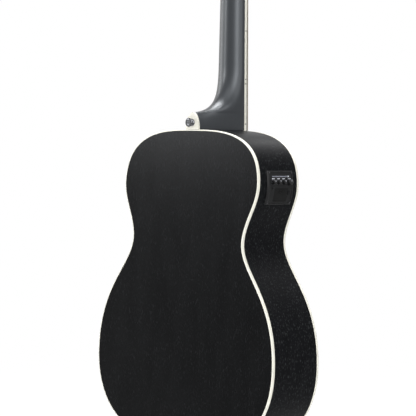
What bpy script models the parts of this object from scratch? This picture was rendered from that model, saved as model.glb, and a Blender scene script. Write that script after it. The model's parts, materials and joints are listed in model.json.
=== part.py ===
"""A four-string acoustic-electric bass guitar, built from its separate pieces.

World frame, in metres: +Z runs up the neck towards the headstock, the soundboard faces -Y, the back faces +Y
and the bass side is -X. The origin is on the centreline where the nut meets the fretboard, on the plane where
the fretboard is glued to the neck. That plane is also the soundboard's outer face.
"""

import math

import bmesh
import bpy
from mathutils import Matrix, Vector

# ---------------------------------------------------------------- driving dimensions, in metres
GAP = 0.0003  # between neighbouring solids

SCALE_LENGTH = 0.813  # nut to saddle
BODY_FRET = 15  # the fret above the body's edge
FRET_COUNT = 20

BODY_LENGTH = 0.4953
UPPER_BOUT_WIDTH = 0.2887
UPPER_BOUT_DROP = 0.0839  # below the neck joint
WAIST_WIDTH = 0.2379
WAIST_DROP = 0.1702
LOWER_BOUT_WIDTH = 0.3812
LOWER_BOUT_DROP = 0.3549
SHOULDER_FLAT = 0.3635  # Bezier handles, as shares of the span that each one shapes
SHOULDER_ROUND = 1.035
UPPER_BOUT_ROUND = 0.342
WAIST_ROUND_ABOVE = 0.339
WAIST_ROUND_BELOW = 0.2442
LOWER_BOUT_ROUND = 0.5806
TAIL_ROUND = 0.7597
TAIL_FLAT = 0.5225
OUTLINE_STEPS = (8, 6, 8, 12)  # straight pieces on each of the four curves of the half outline

NECK_END_DEPTH = 0.0880  # outer face to outer face, on the centreline
TAIL_END_DEPTH = 0.1089
DOME_RADIUS = 7.6  # of the arched back
SIDE_THICKNESS = 0.0022
SOUNDBOARD_THICKNESS = 0.0033
BACK_THICKNESS = 0.0028
BINDING_THICKNESS = 0.0018
BINDING_HEIGHT = 0.0047
LINING_THICKNESS = 0.0060
LINING_HEIGHT = 0.0120

SOUNDHOLE_RADIUS = 0.0495
SOUNDHOLE_DROP = 0.1520
ROSETTE_WIDTH = 0.0065
ROSETTE_MARGIN = 0.0050  # from the hole's edge
ROSETTE_THICKNESS = 0.0009

NUT_HALF_WIDTH = 0.0214
JOINT_HALF_WIDTH = 0.0280
FRETBOARD_THICKNESS = 0.0063  # on the centreline
FRETBOARD_RADIUS = 0.305
FRETBOARD_OVERHANG = 0.0940  # past the neck joint, over the soundboard
FRET_HEIGHT = 0.0011
FRET_WIDTH = 0.0026
NECK_BINDING_THICKNESS = 0.0015

NECK_DEPTH_AT_NUT = 0.0150
NECK_DEPTH_AT_JOINT = 0.0172
NECK_ROUNDNESS = 1.75  # superellipse power of the neck's back
HEEL_START = 0.1045  # above the neck joint
HEEL_TIP = 0.0265
HEEL_HALF_WIDTH = 0.0135
HEEL_CAP_THICKNESS = 0.0036

HEADSTOCK_ANGLE = math.radians(13)
HEADSTOCK_THICKNESS = 0.0150
HEADSTOCK_LENGTH = 0.1720
HEADSTOCK_HALF_WIDTH = 0.0400

NUT_THICKNESS = 0.0050
NUT_SLOT_DEPTH = 0.0009  # from the nut's top to a string's underside
NUT_BACK_FALL = 0.0012  # its top's fall towards the headstock
STRING_CLEARANCE_AT_NUT = 0.0006  # string's underside above a fret's top
STRING_HEIGHT_AT_SADDLE = 0.0132  # string's underside above the soundboard, on the centreline
STRING_SPREAD_AT_NUT = 0.0350  # outer string to outer string
STRING_SPREAD_AT_SADDLE = 0.0570
STRING_DIAMETERS = {"e": 0.00254, "a": 0.00203, "d": 0.00165, "g": 0.00114}

BRIDGE_HALF_LENGTH = 0.0800  # across the soundboard
BRIDGE_WIDTH = 0.0400
BRIDGE_HEIGHT = 0.0088
BRIDGE_WING_HEIGHT = 0.0038
SADDLE_THICKNESS = 0.0032
SADDLE_SLANT = math.radians(2)
SADDLE_FROM_EDGE = 0.0110  # saddle's centre from the bridge's front edge
SADDLE_SLOT_DEPTH = 0.0060
PIN_SETBACK = 0.0150  # pins behind the saddle
PIN_RADIUS = 0.0028
PIN_TIP_RADIUS = 0.0022
PIN_HEAD_RADIUS = 0.0042
PIN_HEAD_HEIGHT = 0.0040
STRING_FROM_PIN = 0.0012  # between the pin's head and its string

POST_RADIUS = 0.0050
POST_HEIGHT = 0.0190  # above the headstock's face
LOWER_POSTS = (0.0250, 0.0560)  # from the centreline, above the nut line along the headstock
UPPER_POSTS = (0.0230, 0.1180)
WHEEL_RADIUS = 0.0090
WHEEL_THICKNESS = 0.0062
WHEEL_TEETH = 20
WORM_RADIUS = 0.0030
TUNER_PLATE_THICKNESS = 0.0016
KEY_SHAFT_RADIUS = 0.0020
KEY_COLLAR_RADIUS = 0.0034
KEY_REACH = 0.0160  # the blade's centre beyond the headstock's edge
KEY_BLADE_RADIUS = 0.0110

PREAMP_DROP = 0.0607  # panel's top edge below the neck joint
PREAMP_HEIGHT = 0.0510
PREAMP_WIDTH = 0.0560
PREAMP_FROM_FACE = 0.0165  # panel's front edge behind the soundboard's face
PREAMP_PANEL_THICKNESS = 0.0016
PREAMP_FLANGE = 0.0035  # panel beyond the opening in the side
HOUSING_DEPTH = 0.0580
HOUSING_WALL = 0.0018
BATTERY_SIZE = (0.0265, 0.0485, 0.0175)  # along Y, into the body, along Z
DOOR_WIDTH = 0.0290
DOOR_HEIGHT = 0.0200
DOOR_DROP = 0.0265  # door's top edge below the panel's
DOOR_INSET = 0.0110  # door's front edge behind the panel's front edge
KNOB_DROP = 0.0172
KNOB_PLACES = {"volume_knob": 0.0075, "treble_knob": 0.0205, "middle_knob": 0.0318, "bass_knob": 0.0431}
LARGE_KNOB_RADIUS = 0.0046
SMALL_KNOB_RADIUS = 0.0034
KNOB_HEIGHT = 0.0050
BUTTON_RADIUS = 0.0015
BUTTON_HEIGHT = 0.0012
BUTTON_PLACE = (0.0440, 0.0262)  # behind the panel's front edge, below its top edge

STRAP_BUTTON_RADIUS = 0.0070
STRAP_BUTTON_HEIGHT = 0.0086
STRAP_BUTTON_RISE = 0.0110  # above the neck joint
JACK_RADIUS = 0.0060
JACK_BORE_RADIUS = 0.0034
JACK_LENGTH = 0.0420
JACK_HEIGHT = 0.0125  # outside the tail
JACK_WALL = 0.0030  # its inner end

# ---------------------------------------------------------------- places that follow from them
STRING_NAMES = tuple(STRING_DIAMETERS)


def fret_z(number):
    return -SCALE_LENGTH * (1 - 2 ** (-number / 12))


JOINT_Z = fret_z(BODY_FRET)
SADDLE_Z = -SCALE_LENGTH
SOUNDHOLE_Z = JOINT_Z - SOUNDHOLE_DROP
FRETBOARD_END_Z = JOINT_Z - FRETBOARD_OVERHANG
BRIDGE_FRONT_Z = SADDLE_Z + SADDLE_FROM_EDGE
BRIDGE_BACK_Z = BRIDGE_FRONT_Z - BRIDGE_WIDTH
BRIDGE_MIDDLE_Z = (BRIDGE_FRONT_Z + BRIDGE_BACK_Z) / 2
FRET_TOP = FRETBOARD_THICKNESS + FRET_HEIGHT
HEADSTOCK_FRAME = Matrix.Translation((0, 0, NUT_THICKNESS)) @ Matrix.Rotation(-HEADSTOCK_ANGLE, 4, "X")

# ---------------------------------------------------------------- scene, collections, materials
for old in list(bpy.data.objects):
    bpy.data.objects.remove(old, do_unlink=True)


def new_collection(name):
    made = bpy.data.collections.new(name)
    bpy.context.scene.collection.children.link(made)
    return made


PARTS = new_collection("acoustic_bass_guitar")
CUTTERS = new_collection("cutters")


def new_material(name, colour, roughness, metallic=0.0):
    made = bpy.data.materials.new(name)
    made.use_nodes = True
    shader = made.node_tree.nodes["Principled BSDF"]
    shader.inputs["Base Color"].default_value = (*colour, 1.0)
    shader.inputs["Roughness"].default_value = roughness
    shader.inputs["Metallic"].default_value = metallic
    return made


BLACK_STAIN = ("black_stain", (0.021, 0.022, 0.023), 0.42)
IVORY = ("ivory_binding", (0.87, 0.85, 0.77), 0.35)
SPRUCE = ("spruce", (0.55, 0.40, 0.22), 0.60)
MAHOGANY = ("mahogany", (0.25, 0.11, 0.05), 0.60)
ROSEWOOD = ("dark_fretwood", (0.045, 0.028, 0.022), 0.50)
BLACK_PLASTIC = ("black_plastic", (0.018, 0.018, 0.018), 0.38)
CHROME = ("chrome", (0.72, 0.72, 0.73), 0.12, 1.0)
STEEL = ("plain_steel", (0.50, 0.50, 0.51), 0.30, 1.0)
BONE = ("bone", (0.86, 0.83, 0.74), 0.40)
BRASS = ("brass", (0.62, 0.45, 0.18), 0.30, 1.0)
WINDING = ("string_winding", (0.60, 0.50, 0.36), 0.30, 1.0)


# ---------------------------------------------------------------- modelling helpers
CUT_REACH = 0.0500  # how far a cutter that goes right through a wall reaches


def place(obj, recipe, cutter=False):
    """Puts an object among the parts, or among the cutters, which aren't built."""
    obj.data.materials.clear()
    obj.data.materials.append(new_material(obj.name + "_" + recipe[0], *recipe[1:]))
    if cutter:
        CUTTERS.objects.link(obj)
        obj.hide_render = True
        obj.display_type = "WIRE"
    else:
        PARTS.objects.link(obj)
    return obj


def mesh_from(name, fill, recipe, cutter=False, matrix=None, smooth=True):
    """An object from a function that fills a bmesh."""
    mesh = bpy.data.meshes.new(name)
    work = bmesh.new()
    fill(work)
    bmesh.ops.recalc_face_normals(work, faces=work.faces)
    work.to_mesh(mesh)
    work.free()
    if smooth:
        mesh.shade_smooth()
        mesh.set_sharp_from_angle(angle=math.radians(35))
    obj = bpy.data.objects.new(name, mesh)
    if matrix is not None:
        obj.matrix_world = matrix
    return place(obj, recipe, cutter)


def loft(name, rings, recipe, **kinds):
    """A closed solid through rings with the same number of points."""

    def fill(work):
        levels = [[work.verts.new(point) for point in ring] for ring in rings]
        count = len(rings[0])
        for low, high in zip(levels, levels[1:]):
            for i in range(count):
                j = (i + 1) % count
                work.faces.new((low[i], low[j], high[j], high[i]))
        work.faces.new(levels[0])
        work.faces.new(levels[-1])

    return mesh_from(name, fill, recipe, **kinds)


def box(name, low, high, recipe, **kinds):
    """A block between two corners."""
    size = [high[k] - low[k] for k in range(3)]
    middle = [(high[k] + low[k]) / 2 for k in range(3)]

    def fill(work):
        bmesh.ops.create_cube(work, size=1.0, matrix=Matrix.Translation(middle) @ Matrix.Diagonal((*size, 1)))

    return mesh_from(name, fill, recipe, **kinds)


def along(origin, direction):
    """A frame at origin whose own Z runs in the given direction."""
    return Matrix.Translation(origin) @ Vector(direction).to_track_quat("Z", "Y").to_matrix().to_4x4()


def rod(name, origin, direction, radius, start, end, recipe, sides=20, **kinds):
    """A cylinder along a direction, from start to end."""

    def fill(work):
        shift = Matrix.Translation((0, 0, (start + end) / 2))
        bmesh.ops.create_cone(
            work,
            cap_ends=True,
            segments=sides,
            radius1=radius,
            radius2=radius,
            depth=end - start,
            matrix=shift,
        )

    return mesh_from(name, fill, recipe, matrix=along(origin, direction), **kinds)


def drill(name, matrix, radius, sides=16):
    """A long round cutter along the matrix's Z, centred on its origin."""
    cutter = rod(name, (0, 0, 0), (0, 0, 1), radius, -CUT_REACH, CUT_REACH, CHROME, sides=sides, cutter=True)
    cutter.matrix_world = matrix
    return cutter


def turned(name, matrix, profile, recipe, steps=20, cutter=False):
    """A profile of (radius, height) points, top to bottom on its outer side, turned about the matrix's Z."""
    mesh = bpy.data.meshes.new(name)
    mesh.from_pydata([(r, 0, h) for r, h in profile], [(i, i + 1) for i in range(len(profile) - 1)], [])
    obj = bpy.data.objects.new(name, mesh)
    screw = obj.modifiers.new("turn", "SCREW")
    screw.steps = steps
    screw.render_steps = steps
    screw.use_merge_vertices = True
    screw.merge_threshold = 0.00001
    screw.use_smooth_shade = True
    obj.matrix_world = matrix
    return place(obj, recipe, cutter)


def flat(name, outlines, thickness, matrix, recipe, cutter=False):
    """A flat plate from closed outlines in the matrix's XY plane, centred on it; inner outlines are holes."""
    curve = bpy.data.curves.new(name, "CURVE")
    curve.dimensions = "2D"
    curve.fill_mode = "BOTH"
    curve.extrude = thickness / 2
    for outline in outlines:
        spline = curve.splines.new("POLY")
        spline.points.add(len(outline) - 1)
        spline.use_cyclic_u = True
        for point, (x, y) in zip(spline.points, outline):
            point.co = (x, y, 0, 1)
    obj = bpy.data.objects.new(name, curve)
    obj.matrix_world = matrix
    return to_mesh(obj, recipe, cutter)


def wire(name, points, radius, swell, recipe):
    """A round wire through points, each with its own share of the radius."""
    curve = bpy.data.curves.new(name, "CURVE")
    curve.dimensions = "3D"
    curve.bevel_depth = radius
    curve.bevel_resolution = 2
    curve.use_fill_caps = True
    spline = curve.splines.new("POLY")
    spline.points.add(len(points) - 1)
    for i, point in enumerate(points):
        spline.points[i].co = (*point, 1)
        spline.points[i].radius = swell[i]
    obj = bpy.data.objects.new(name, curve)
    return to_mesh(obj, recipe, False)


def to_mesh(obj, recipe, cutter):
    """Turns a curve object into a welded mesh object of the same name and place."""
    bpy.context.scene.collection.objects.link(obj)
    matrix = obj.matrix_basis.copy()
    bpy.context.view_layer.update()
    mesh = bpy.data.meshes.new_from_object(obj.evaluated_get(bpy.context.evaluated_depsgraph_get()))
    work = bmesh.new()
    work.from_mesh(mesh)
    bmesh.ops.remove_doubles(work, verts=work.verts, dist=0.000001)
    bmesh.ops.recalc_face_normals(work, faces=work.faces)
    work.to_mesh(mesh)
    work.free()
    name = obj.name
    bpy.data.objects.remove(obj, do_unlink=True)
    made = bpy.data.objects.new(name, mesh)
    made.matrix_world = matrix
    return place(made, recipe, cutter)


def boolean(obj, other, operation):
    modifier = obj.modifiers.new(other.name, "BOOLEAN")
    modifier.operation = operation
    modifier.object = other
    modifier.solver = "EXACT"
    return obj


def cut(obj, *cutters):
    for cutter in cutters:
        boolean(obj, cutter, "DIFFERENCE")
    return obj


def union(obj, *others):
    for other in others:
        boolean(obj, other, "UNION")
    return obj


# ---------------------------------------------------------------- the body's outline
def bezier(handles, share):
    """Point and direction on a cubic curve."""
    rest = 1 - share
    weights = (rest**3, 3 * rest**2 * share, 3 * rest * share**2, share**3)
    slopes = (-3 * rest**2, 3 * rest**2 - 6 * rest * share, 6 * rest * share - 3 * share**2, 3 * share**2)
    point = Vector((0, 0))
    slope = Vector((0, 0))
    for weight, change, handle in zip(weights, slopes, handles):
        point += weight * Vector(handle)
        slope += change * Vector(handle)
    return point, slope


def outline_curves():
    """The right half's four curves, from the neck joint to the tail, as (x, z) handles."""
    upper = UPPER_BOUT_WIDTH / 2
    waist = WAIST_WIDTH / 2
    lower = LOWER_BOUT_WIDTH / 2
    to_waist = WAIST_DROP - UPPER_BOUT_DROP
    to_lower = LOWER_BOUT_DROP - WAIST_DROP
    to_tail = BODY_LENGTH - LOWER_BOUT_DROP
    drops = (
        (0, 0),
        (upper * SHOULDER_FLAT, 0),
        (upper, UPPER_BOUT_DROP * (1 - SHOULDER_ROUND)),
        (upper, UPPER_BOUT_DROP),
        (upper, UPPER_BOUT_DROP + to_waist * UPPER_BOUT_ROUND),
        (waist, WAIST_DROP - to_waist * WAIST_ROUND_ABOVE),
        (waist, WAIST_DROP),
        (waist, WAIST_DROP + to_lower * WAIST_ROUND_BELOW),
        (lower, LOWER_BOUT_DROP - to_lower * LOWER_BOUT_ROUND),
        (lower, LOWER_BOUT_DROP),
        (lower, LOWER_BOUT_DROP + to_tail * TAIL_ROUND),
        (lower * TAIL_FLAT, BODY_LENGTH),
        (0, BODY_LENGTH),
    )
    handles = [(x, JOINT_Z - drop) for x, drop in drops]
    return [handles[3 * k : 3 * k + 4] for k in range(4)]


def outline_at(place_on, inset=0.0):
    """A point of the right half outline, moved inwards; place_on runs from 0 at the neck to 4 at the tail."""
    number = min(int(place_on), 3)
    point, slope = bezier(outline_curves()[number], place_on - number)
    inwards = Vector((slope.y, -slope.x)).normalized()
    return point + inset * inwards


def place_at_z(z, inset=0.0):
    """Where the inset half outline passes a height."""
    high, low = 0.0, 4.0
    for _ in range(40):
        middle = (high + low) / 2
        if outline_at(middle, inset).y > z:
            high = middle
        else:
            low = middle
    return (high + low) / 2


def half_width_at(z, inset=0.0):
    return outline_at(place_at_z(z, inset), inset).x


def half_places():
    """The half outline's sample places, from the neck to the tail."""
    places = [number + i / steps for number, steps in enumerate(OUTLINE_STEPS) for i in range(steps)]
    return places + [4.0]


def half_path(inset, first=0.0, last=4.0):
    """Right half outline between two places, as (x, z) pairs, from the neck end to the tail end."""
    inner = [p for p in half_places() if first + 0.02 < p < last - 0.02]
    return [tuple(outline_at(p, inset)) for p in [first, *inner, last]]


def mirrored(path):
    return [(-x, z) for x, z in path]


def whole_path(inset):
    """The whole outline as a loop: down the right side and up the left."""
    right = half_path(inset)
    return right + mirrored(right)[-2:0:-1]


def centre_gap_place(inset, end):
    """The place a hair from the centreline, where the two sides meet with a gap; end is 0 or 4."""
    inside, outside = (0.0, 0.5) if end == 0 else (4.0, 3.5)
    for _ in range(30):
        middle = (inside + outside) / 2
        if outline_at(middle, inset).x < GAP / 2:
            inside = middle
        else:
            outside = middle
    return outside


def back_depth(x, z):
    """The back's outer face: a taper from neck to tail, with a shallow dome over it."""
    share = (JOINT_Z - z) / BODY_LENGTH
    taper = NECK_END_DEPTH + (TAIL_END_DEPTH - NECK_END_DEPTH) * share
    along_dome = share * (1 - share) * BODY_LENGTH**2 / (2 * DOME_RADIUS)
    return taper + along_dome - x**2 / (2 * DOME_RADIUS)


def band(name, path, front, back, thickness, recipe, closed=False):
    """A wall of even thickness along a path of (x, z) pairs; front and back give its edges' Y at (x, z)."""
    mesh = bpy.data.meshes.new(name)
    work = bmesh.new()
    pairs = [(work.verts.new((x, front(x, z), z)), work.verts.new((x, back(x, z), z))) for x, z in path]
    last = len(pairs) if closed else len(pairs) - 1
    for i in range(last):
        here, there = pairs[i], pairs[(i + 1) % len(pairs)]
        work.faces.new((here[0], there[0], there[1], here[1]))
    work.to_mesh(mesh)
    work.free()
    mesh.shade_smooth()
    mesh.set_sharp_from_angle(angle=math.radians(35))
    obj = bpy.data.objects.new(name, mesh)
    wall = obj.modifiers.new("wall", "SOLIDIFY")
    wall.thickness = thickness
    wall.offset = -1
    wall.use_even_offset = True
    return place(obj, recipe)


# ---------------------------------------------------------------- body: plates, sides, bindings, linings
FACE_DOWN = Matrix.Rotation(math.radians(90), 4, "X")  # takes a plate's own XY to the world's XZ, its Z to -Y
PLATE_INSET = BINDING_THICKNESS + GAP
SIDE_INNER = SIDE_THICKNESS + GAP
LINING_INNER = SIDE_INNER + LINING_THICKNESS + GAP
BOARD_UNDERSIDE = SOUNDBOARD_THICKNESS + GAP
SIDE_FRONT = BINDING_HEIGHT + GAP


def plate_frame(y):
    """A plate's frame with its middle plane at y."""
    return Matrix.Translation((0, y, 0)) @ FACE_DOWN


def circle(radius, x=0.0, z=0.0, points=32):
    turns = [2 * math.pi * i / points for i in range(points)]
    return [(x + radius * math.cos(turn), z + radius * math.sin(turn)) for turn in turns]


def back_inside(x, z):
    return back_depth(x, z) - BACK_THICKNESS - GAP


def soundboard():
    board = flat(
        "soundboard",
        [whole_path(PLATE_INSET), circle(SOUNDHOLE_RADIUS, z=SOUNDHOLE_Z)],
        SOUNDBOARD_THICKNESS,
        plate_frame(SOUNDBOARD_THICKNESS / 2),
        BLACK_STAIN,
    )
    inner = SOUNDHOLE_RADIUS + ROSETTE_MARGIN
    outer = inner + ROSETTE_WIDTH
    channel = flat(
        "rosette_channel",
        [circle(outer + GAP, z=SOUNDHOLE_Z), circle(inner - GAP, z=SOUNDHOLE_Z)],
        2 * (ROSETTE_THICKNESS + GAP),
        plate_frame(0),
        BLACK_STAIN,
        cutter=True,
    )
    cut(board, channel)
    flat(
        "rosette",
        [circle(outer, z=SOUNDHOLE_Z), circle(inner, z=SOUNDHOLE_Z)],
        ROSETTE_THICKNESS,
        plate_frame(ROSETTE_THICKNESS / 2),
        IVORY,
    )
    return board


def back_plate():
    """The arched back: rows of points across it, hung on the outline."""
    columns = 4
    right = half_path(PLATE_INSET)
    mesh = bpy.data.meshes.new("back_plate")
    work = bmesh.new()
    rows = []
    for half, z in right:
        if half < 0.00001:
            rows.append([work.verts.new((0, back_depth(0, z), z))] * (columns + 1))
            continue
        across = [half * (2 * i / columns - 1) for i in range(columns + 1)]
        rows.append([work.verts.new((x, back_depth(x, z), z)) for x in across])
    for low, high in zip(rows, rows[1:]):
        for i in range(columns):
            corners = (low[i], low[i + 1], high[i + 1], high[i])
            work.faces.new(list(dict.fromkeys(corners)))
    work.to_mesh(mesh)
    work.free()
    mesh.shade_smooth()
    obj = bpy.data.objects.new("back_plate", mesh)
    wall = obj.modifiers.new("wall", "SOLIDIFY")
    wall.thickness = BACK_THICKNESS
    wall.offset = -1
    return place(obj, BLACK_STAIN)


def side_back(x, z):
    return back_depth(x, z) - BINDING_HEIGHT - GAP


def sides():
    """The two bent sides, which meet with a hair's gap at the neck and at the tail."""
    first = centre_gap_place(0, 0)
    last = centre_gap_place(0, 4)
    right = half_path(0, first, last)
    treble = band("treble_side", right, lambda x, z: SIDE_FRONT, side_back, SIDE_THICKNESS, BLACK_STAIN)
    left = mirrored(right)[::-1]
    bass = band("bass_side", left, lambda x, z: SIDE_FRONT, side_back, SIDE_THICKNESS, BLACK_STAIN)
    return treble, bass


def bindings():
    loop = whole_path(0)
    flat(
        "top_binding",
        [loop, whole_path(BINDING_THICKNESS)],
        BINDING_HEIGHT,
        plate_frame(BINDING_HEIGHT / 2),
        IVORY,
    )
    band("back_binding", loop, binding_front, back_depth, BINDING_THICKNESS, IVORY, closed=True)


def binding_front(x, z):
    return back_depth(x, z) - BINDING_HEIGHT


def lining_path():
    """From the neck block's right side, down round the tail and up to its left side."""
    start = place_beside(NECK_BLOCK_HALF_WIDTH + GAP, LINING_INNER)
    right = half_path(SIDE_INNER, start, 4.0)
    return right + mirrored(right)[-2::-1]


def place_beside(x, inset):
    """The place near the neck where the inset half outline reaches a half width."""
    low, high = 0.0, 1.0
    for _ in range(40):
        middle = (low + high) / 2
        if outline_at(middle, inset).x < x:
            low = middle
        else:
            high = middle
    return high


def linings():
    path = lining_path()
    top_back = BOARD_UNDERSIDE + LINING_HEIGHT
    band("top_lining", path, lambda x, z: BOARD_UNDERSIDE, lambda x, z: top_back, LINING_THICKNESS, MAHOGANY)
    band("back_lining", path, lining_front, back_inside, LINING_THICKNESS, MAHOGANY)


def lining_front(x, z):
    return back_inside(x, z) - LINING_HEIGHT


# ---------------------------------------------------------------- body: blocks and braces
NECK_BLOCK_HALF_WIDTH = 0.0320
NECK_BLOCK_LENGTH = 0.0520
TAIL_BLOCK_HALF_WIDTH = 0.0300
TAIL_BLOCK_LENGTH = 0.0240
BRACE_WIDTH = 0.0075
BRACE_HEIGHT = 0.0135
BRACE_END_HEIGHT = 0.0035
BRACE_END_TAPER = 0.0450
BRACE_MARGIN = 0.0030  # from the linings
X_BRACE_CROSSING = 0.30  # share of the way from the soundhole's edge to the bridge plate
PLATE_CLEARANCE = 0.0080  # from the bridge plate to the braces beside it and below it
TRANSVERSE_BRACE_DROP = 0.0780
TONE_BAR_BASS_REACH = 0.0600  # from the centreline
TONE_BAR_TREBLE_REACH = 0.1000
TONE_BAR_SLANT = 0.0360  # its treble end below its bass end
BACK_BRACE_SHARES = (0.262, 0.434, 0.616, 0.808)  # of the body's length
BRIDGE_PLATE_THICKNESS = 0.0030
BRIDGE_PLATE_HALF_LENGTH = 0.0720
BRIDGE_PLATE_WIDTH = 0.0500
PLATE_TOP_Z = BRIDGE_MIDDLE_Z + BRIDGE_PLATE_WIDTH / 2
PLATE_LOW_Z = BRIDGE_MIDDLE_Z - BRIDGE_PLATE_WIDTH / 2


def block(name, low_x, high_x, low_z, high_z, recipe):
    """An upright block from the soundboard to the back, whose back face follows the arch."""
    ring = [(low_x, low_z), (high_x, low_z), (high_x, high_z), (low_x, high_z)]
    front = [(x, BOARD_UNDERSIDE, z) for x, z in ring]
    back = [(x, back_inside(x, z), z) for x, z in ring]
    return loft(name, [front, back], recipe, smooth=False)


def blocks():
    top = outline_at(place_beside(NECK_BLOCK_HALF_WIDTH, SIDE_INNER), SIDE_INNER).y - GAP
    half = NECK_BLOCK_HALF_WIDTH
    block("neck_block", -half, half, top - NECK_BLOCK_LENGTH, top, MAHOGANY)
    tail = outline_at(4.0, SIDE_INNER).y
    sagitta = half_path_rise(TAIL_BLOCK_HALF_WIDTH)
    inner = tail + LINING_THICKNESS + GAP + sagitta
    half = TAIL_BLOCK_HALF_WIDTH
    body = block("tail_block", -half, half, inner, inner + TAIL_BLOCK_LENGTH, MAHOGANY)
    nose_front = BOARD_UNDERSIDE + LINING_HEIGHT + GAP
    nose_back = back_inside(half, tail) - LINING_HEIGHT - GAP
    nose = box(
        "tail_block_nose",
        (-half, nose_front, tail + GAP + sagitta),
        (half, nose_back, inner + TAIL_BLOCK_LENGTH / 2),
        MAHOGANY,
        cutter=True,
    )
    union(body, nose)
    cut(body, drill("tail_block_bore", along((0, jack_y(), tail), (0, 0, 1)), JACK_RADIUS + GAP, sides=20))
    return body


def half_path_rise(x):
    """How much higher the tail's inner face lies at a half width than on the centreline."""
    low, high = 3.0, 4.0
    for _ in range(40):
        middle = (low + high) / 2
        if outline_at(middle, SIDE_INNER).x > x:
            low = middle
        else:
            high = middle
    return outline_at(high, SIDE_INNER).y - outline_at(4.0, SIDE_INNER).y


def jack_y():
    """The output jack's height, midway between the soundboard and the back."""
    return back_depth(0, JOINT_Z - BODY_LENGTH) / 2


def bar(name, start, end, face, towards, recipe, cutter=False):
    """A brace between two (x, z) points, on a face given by its Y, standing towards +Y (1) or -Y (-1)."""
    run = Vector((end[0] - start[0], end[1] - start[1]))
    length = run.length
    run.normalize()
    side = Vector((-run.y, run.x)) * BRACE_WIDTH / 2
    taper = min(BRACE_END_TAPER, length / 3)
    stations = [0, taper, length * 0.38, length * 0.5, length * 0.62, length - taper, length]
    heights = [BRACE_END_HEIGHT] + [BRACE_HEIGHT] * 5 + [BRACE_END_HEIGHT]
    rings = []
    for distance, height in zip(stations, heights):
        middle = Vector(start) + run * distance
        foot = face(middle.x, middle.y)
        tip = foot + towards * height
        shoulder = foot + towards * height * 0.75
        ring = [(middle + side, foot), (middle + side, shoulder), (middle, tip)]
        ring += [(middle - side, shoulder), (middle - side, foot)]
        rings.append([(point.x, y, point.y) for point, y in ring])
    return loft(name, rings, recipe, cutter=cutter, smooth=False)


def brace_end(z):
    """The half width that a brace's end may reach at a height."""
    return half_width_at(z, LINING_INNER + BRACE_MARGIN) - BRACE_WIDTH


def brace_reach(start, direction):
    """Where a brace that leaves a point inside the body comes to the linings."""
    inside, outside = 0.0, BODY_LENGTH
    for _ in range(40):
        middle = (inside + outside) / 2
        x, z = start + direction * middle
        if abs(x) < brace_end(z):
            inside = middle
        else:
            outside = middle
    return tuple(start + direction * inside)


def board_inside(x, z):
    return BOARD_UNDERSIDE


def braces():
    hole_edge = SOUNDHOLE_Z - SOUNDHOLE_RADIUS
    crossing = Vector((0, hole_edge + (PLATE_TOP_Z - hole_edge) * X_BRACE_CROSSING))
    beside = Vector((BRIDGE_PLATE_HALF_LENGTH + PLATE_CLEARANCE + BRACE_WIDTH / 2, PLATE_TOP_Z))
    slant = (beside - crossing).normalized()
    high, low = brace_reach(crossing, -slant), brace_reach(crossing, slant)
    first = bar("x_brace", high, low, board_inside, 1, SPRUCE)
    high, low = (-high[0], high[1]), (-low[0], low[1])
    second = bar("x_brace_second_arm", high, low, board_inside, 1, SPRUCE, cutter=True)
    union(first, second)
    z = JOINT_Z - TRANSVERSE_BRACE_DROP
    half = brace_end(z)
    bar("upper_transverse_brace", (-half, z), (half, z), board_inside, 1, SPRUCE)
    z = PLATE_LOW_Z - PLATE_CLEARANCE - BRACE_WIDTH / 2
    bass_end, treble_end = (-TONE_BAR_BASS_REACH, z), (TONE_BAR_TREBLE_REACH, z - TONE_BAR_SLANT)
    bar("tone_bar", bass_end, treble_end, board_inside, 1, SPRUCE)
    for number, share in enumerate(BACK_BRACE_SHARES, 1):
        z = JOINT_Z - share * BODY_LENGTH
        half = brace_end(z)
        bar(f"back_brace_{number}", (-half, z), (half, z), back_inside, -1, SPRUCE)


# ---------------------------------------------------------------- strings: where each one runs
def crown(x):
    """How much lower the fretboard's surface lies at x than on the centreline."""
    return x**2 / (2 * FRETBOARD_RADIUS)


def string_radius(name):
    return STRING_DIAMETERS[name] / 2


def spread(name, width):
    """A string's x in a row of the given width."""
    share = STRING_NAMES.index(name) / (len(STRING_NAMES) - 1)
    return width * (share - 0.5)


def nut_underside(x):
    """Height of a string's underside over the nut, above the glue plane."""
    return FRET_TOP + STRING_CLEARANCE_AT_NUT - crown(x)


def saddle_underside(x):
    return STRING_HEIGHT_AT_SADDLE - crown(x)


def saddle_z(x):
    """The slanted saddle's centre: the bass end lies further from the nut."""
    return SADDLE_Z + x * math.tan(SADDLE_SLANT)


def pin_z(x):
    return saddle_z(x) - PIN_SETBACK


def string_hole_z(name):
    """Where a string goes down in front of its pin."""
    x = spread(name, STRING_SPREAD_AT_SADDLE)
    return pin_z(x) + PIN_HEAD_RADIUS + STRING_FROM_PIN + string_radius(name)


# ---------------------------------------------------------------- bridge, saddle, pickup, pins
BRIDGE_TOP = GAP + BRIDGE_HEIGHT
BRIDGE_EDGE = 0.0016  # rounding of its long edges
WING_START = 0.0520  # from the centreline
WING_LOW = 0.0660
WING_FOOT_HEIGHT = 0.0044
WING_TIP_HEIGHT = 0.0030
WING_TIP_LENGTH = 0.0050
WING_TIP_TAPER = 0.0060
SADDLE_HALF_LENGTH = 0.0340
PICKUP_THICKNESS = 0.0018
PIN_LENGTH = 0.0230
SLOT_FLOOR = BRIDGE_TOP - SADDLE_SLOT_DEPTH
STRING_SLOT_CLEARANCE = 0.0005


def bridge_ring(x, height, pull_in):
    low, high = BRIDGE_BACK_Z + pull_in, BRIDGE_FRONT_Z - pull_in
    top = -GAP - height
    edge = min(BRIDGE_EDGE, height / 2)
    corners = [(-GAP, high), (top + edge, high), (top, high - edge)]
    corners += [(top, low + edge), (top + edge, low), (-GAP, low)]
    return [(x, y, z) for y, z in corners]


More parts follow.
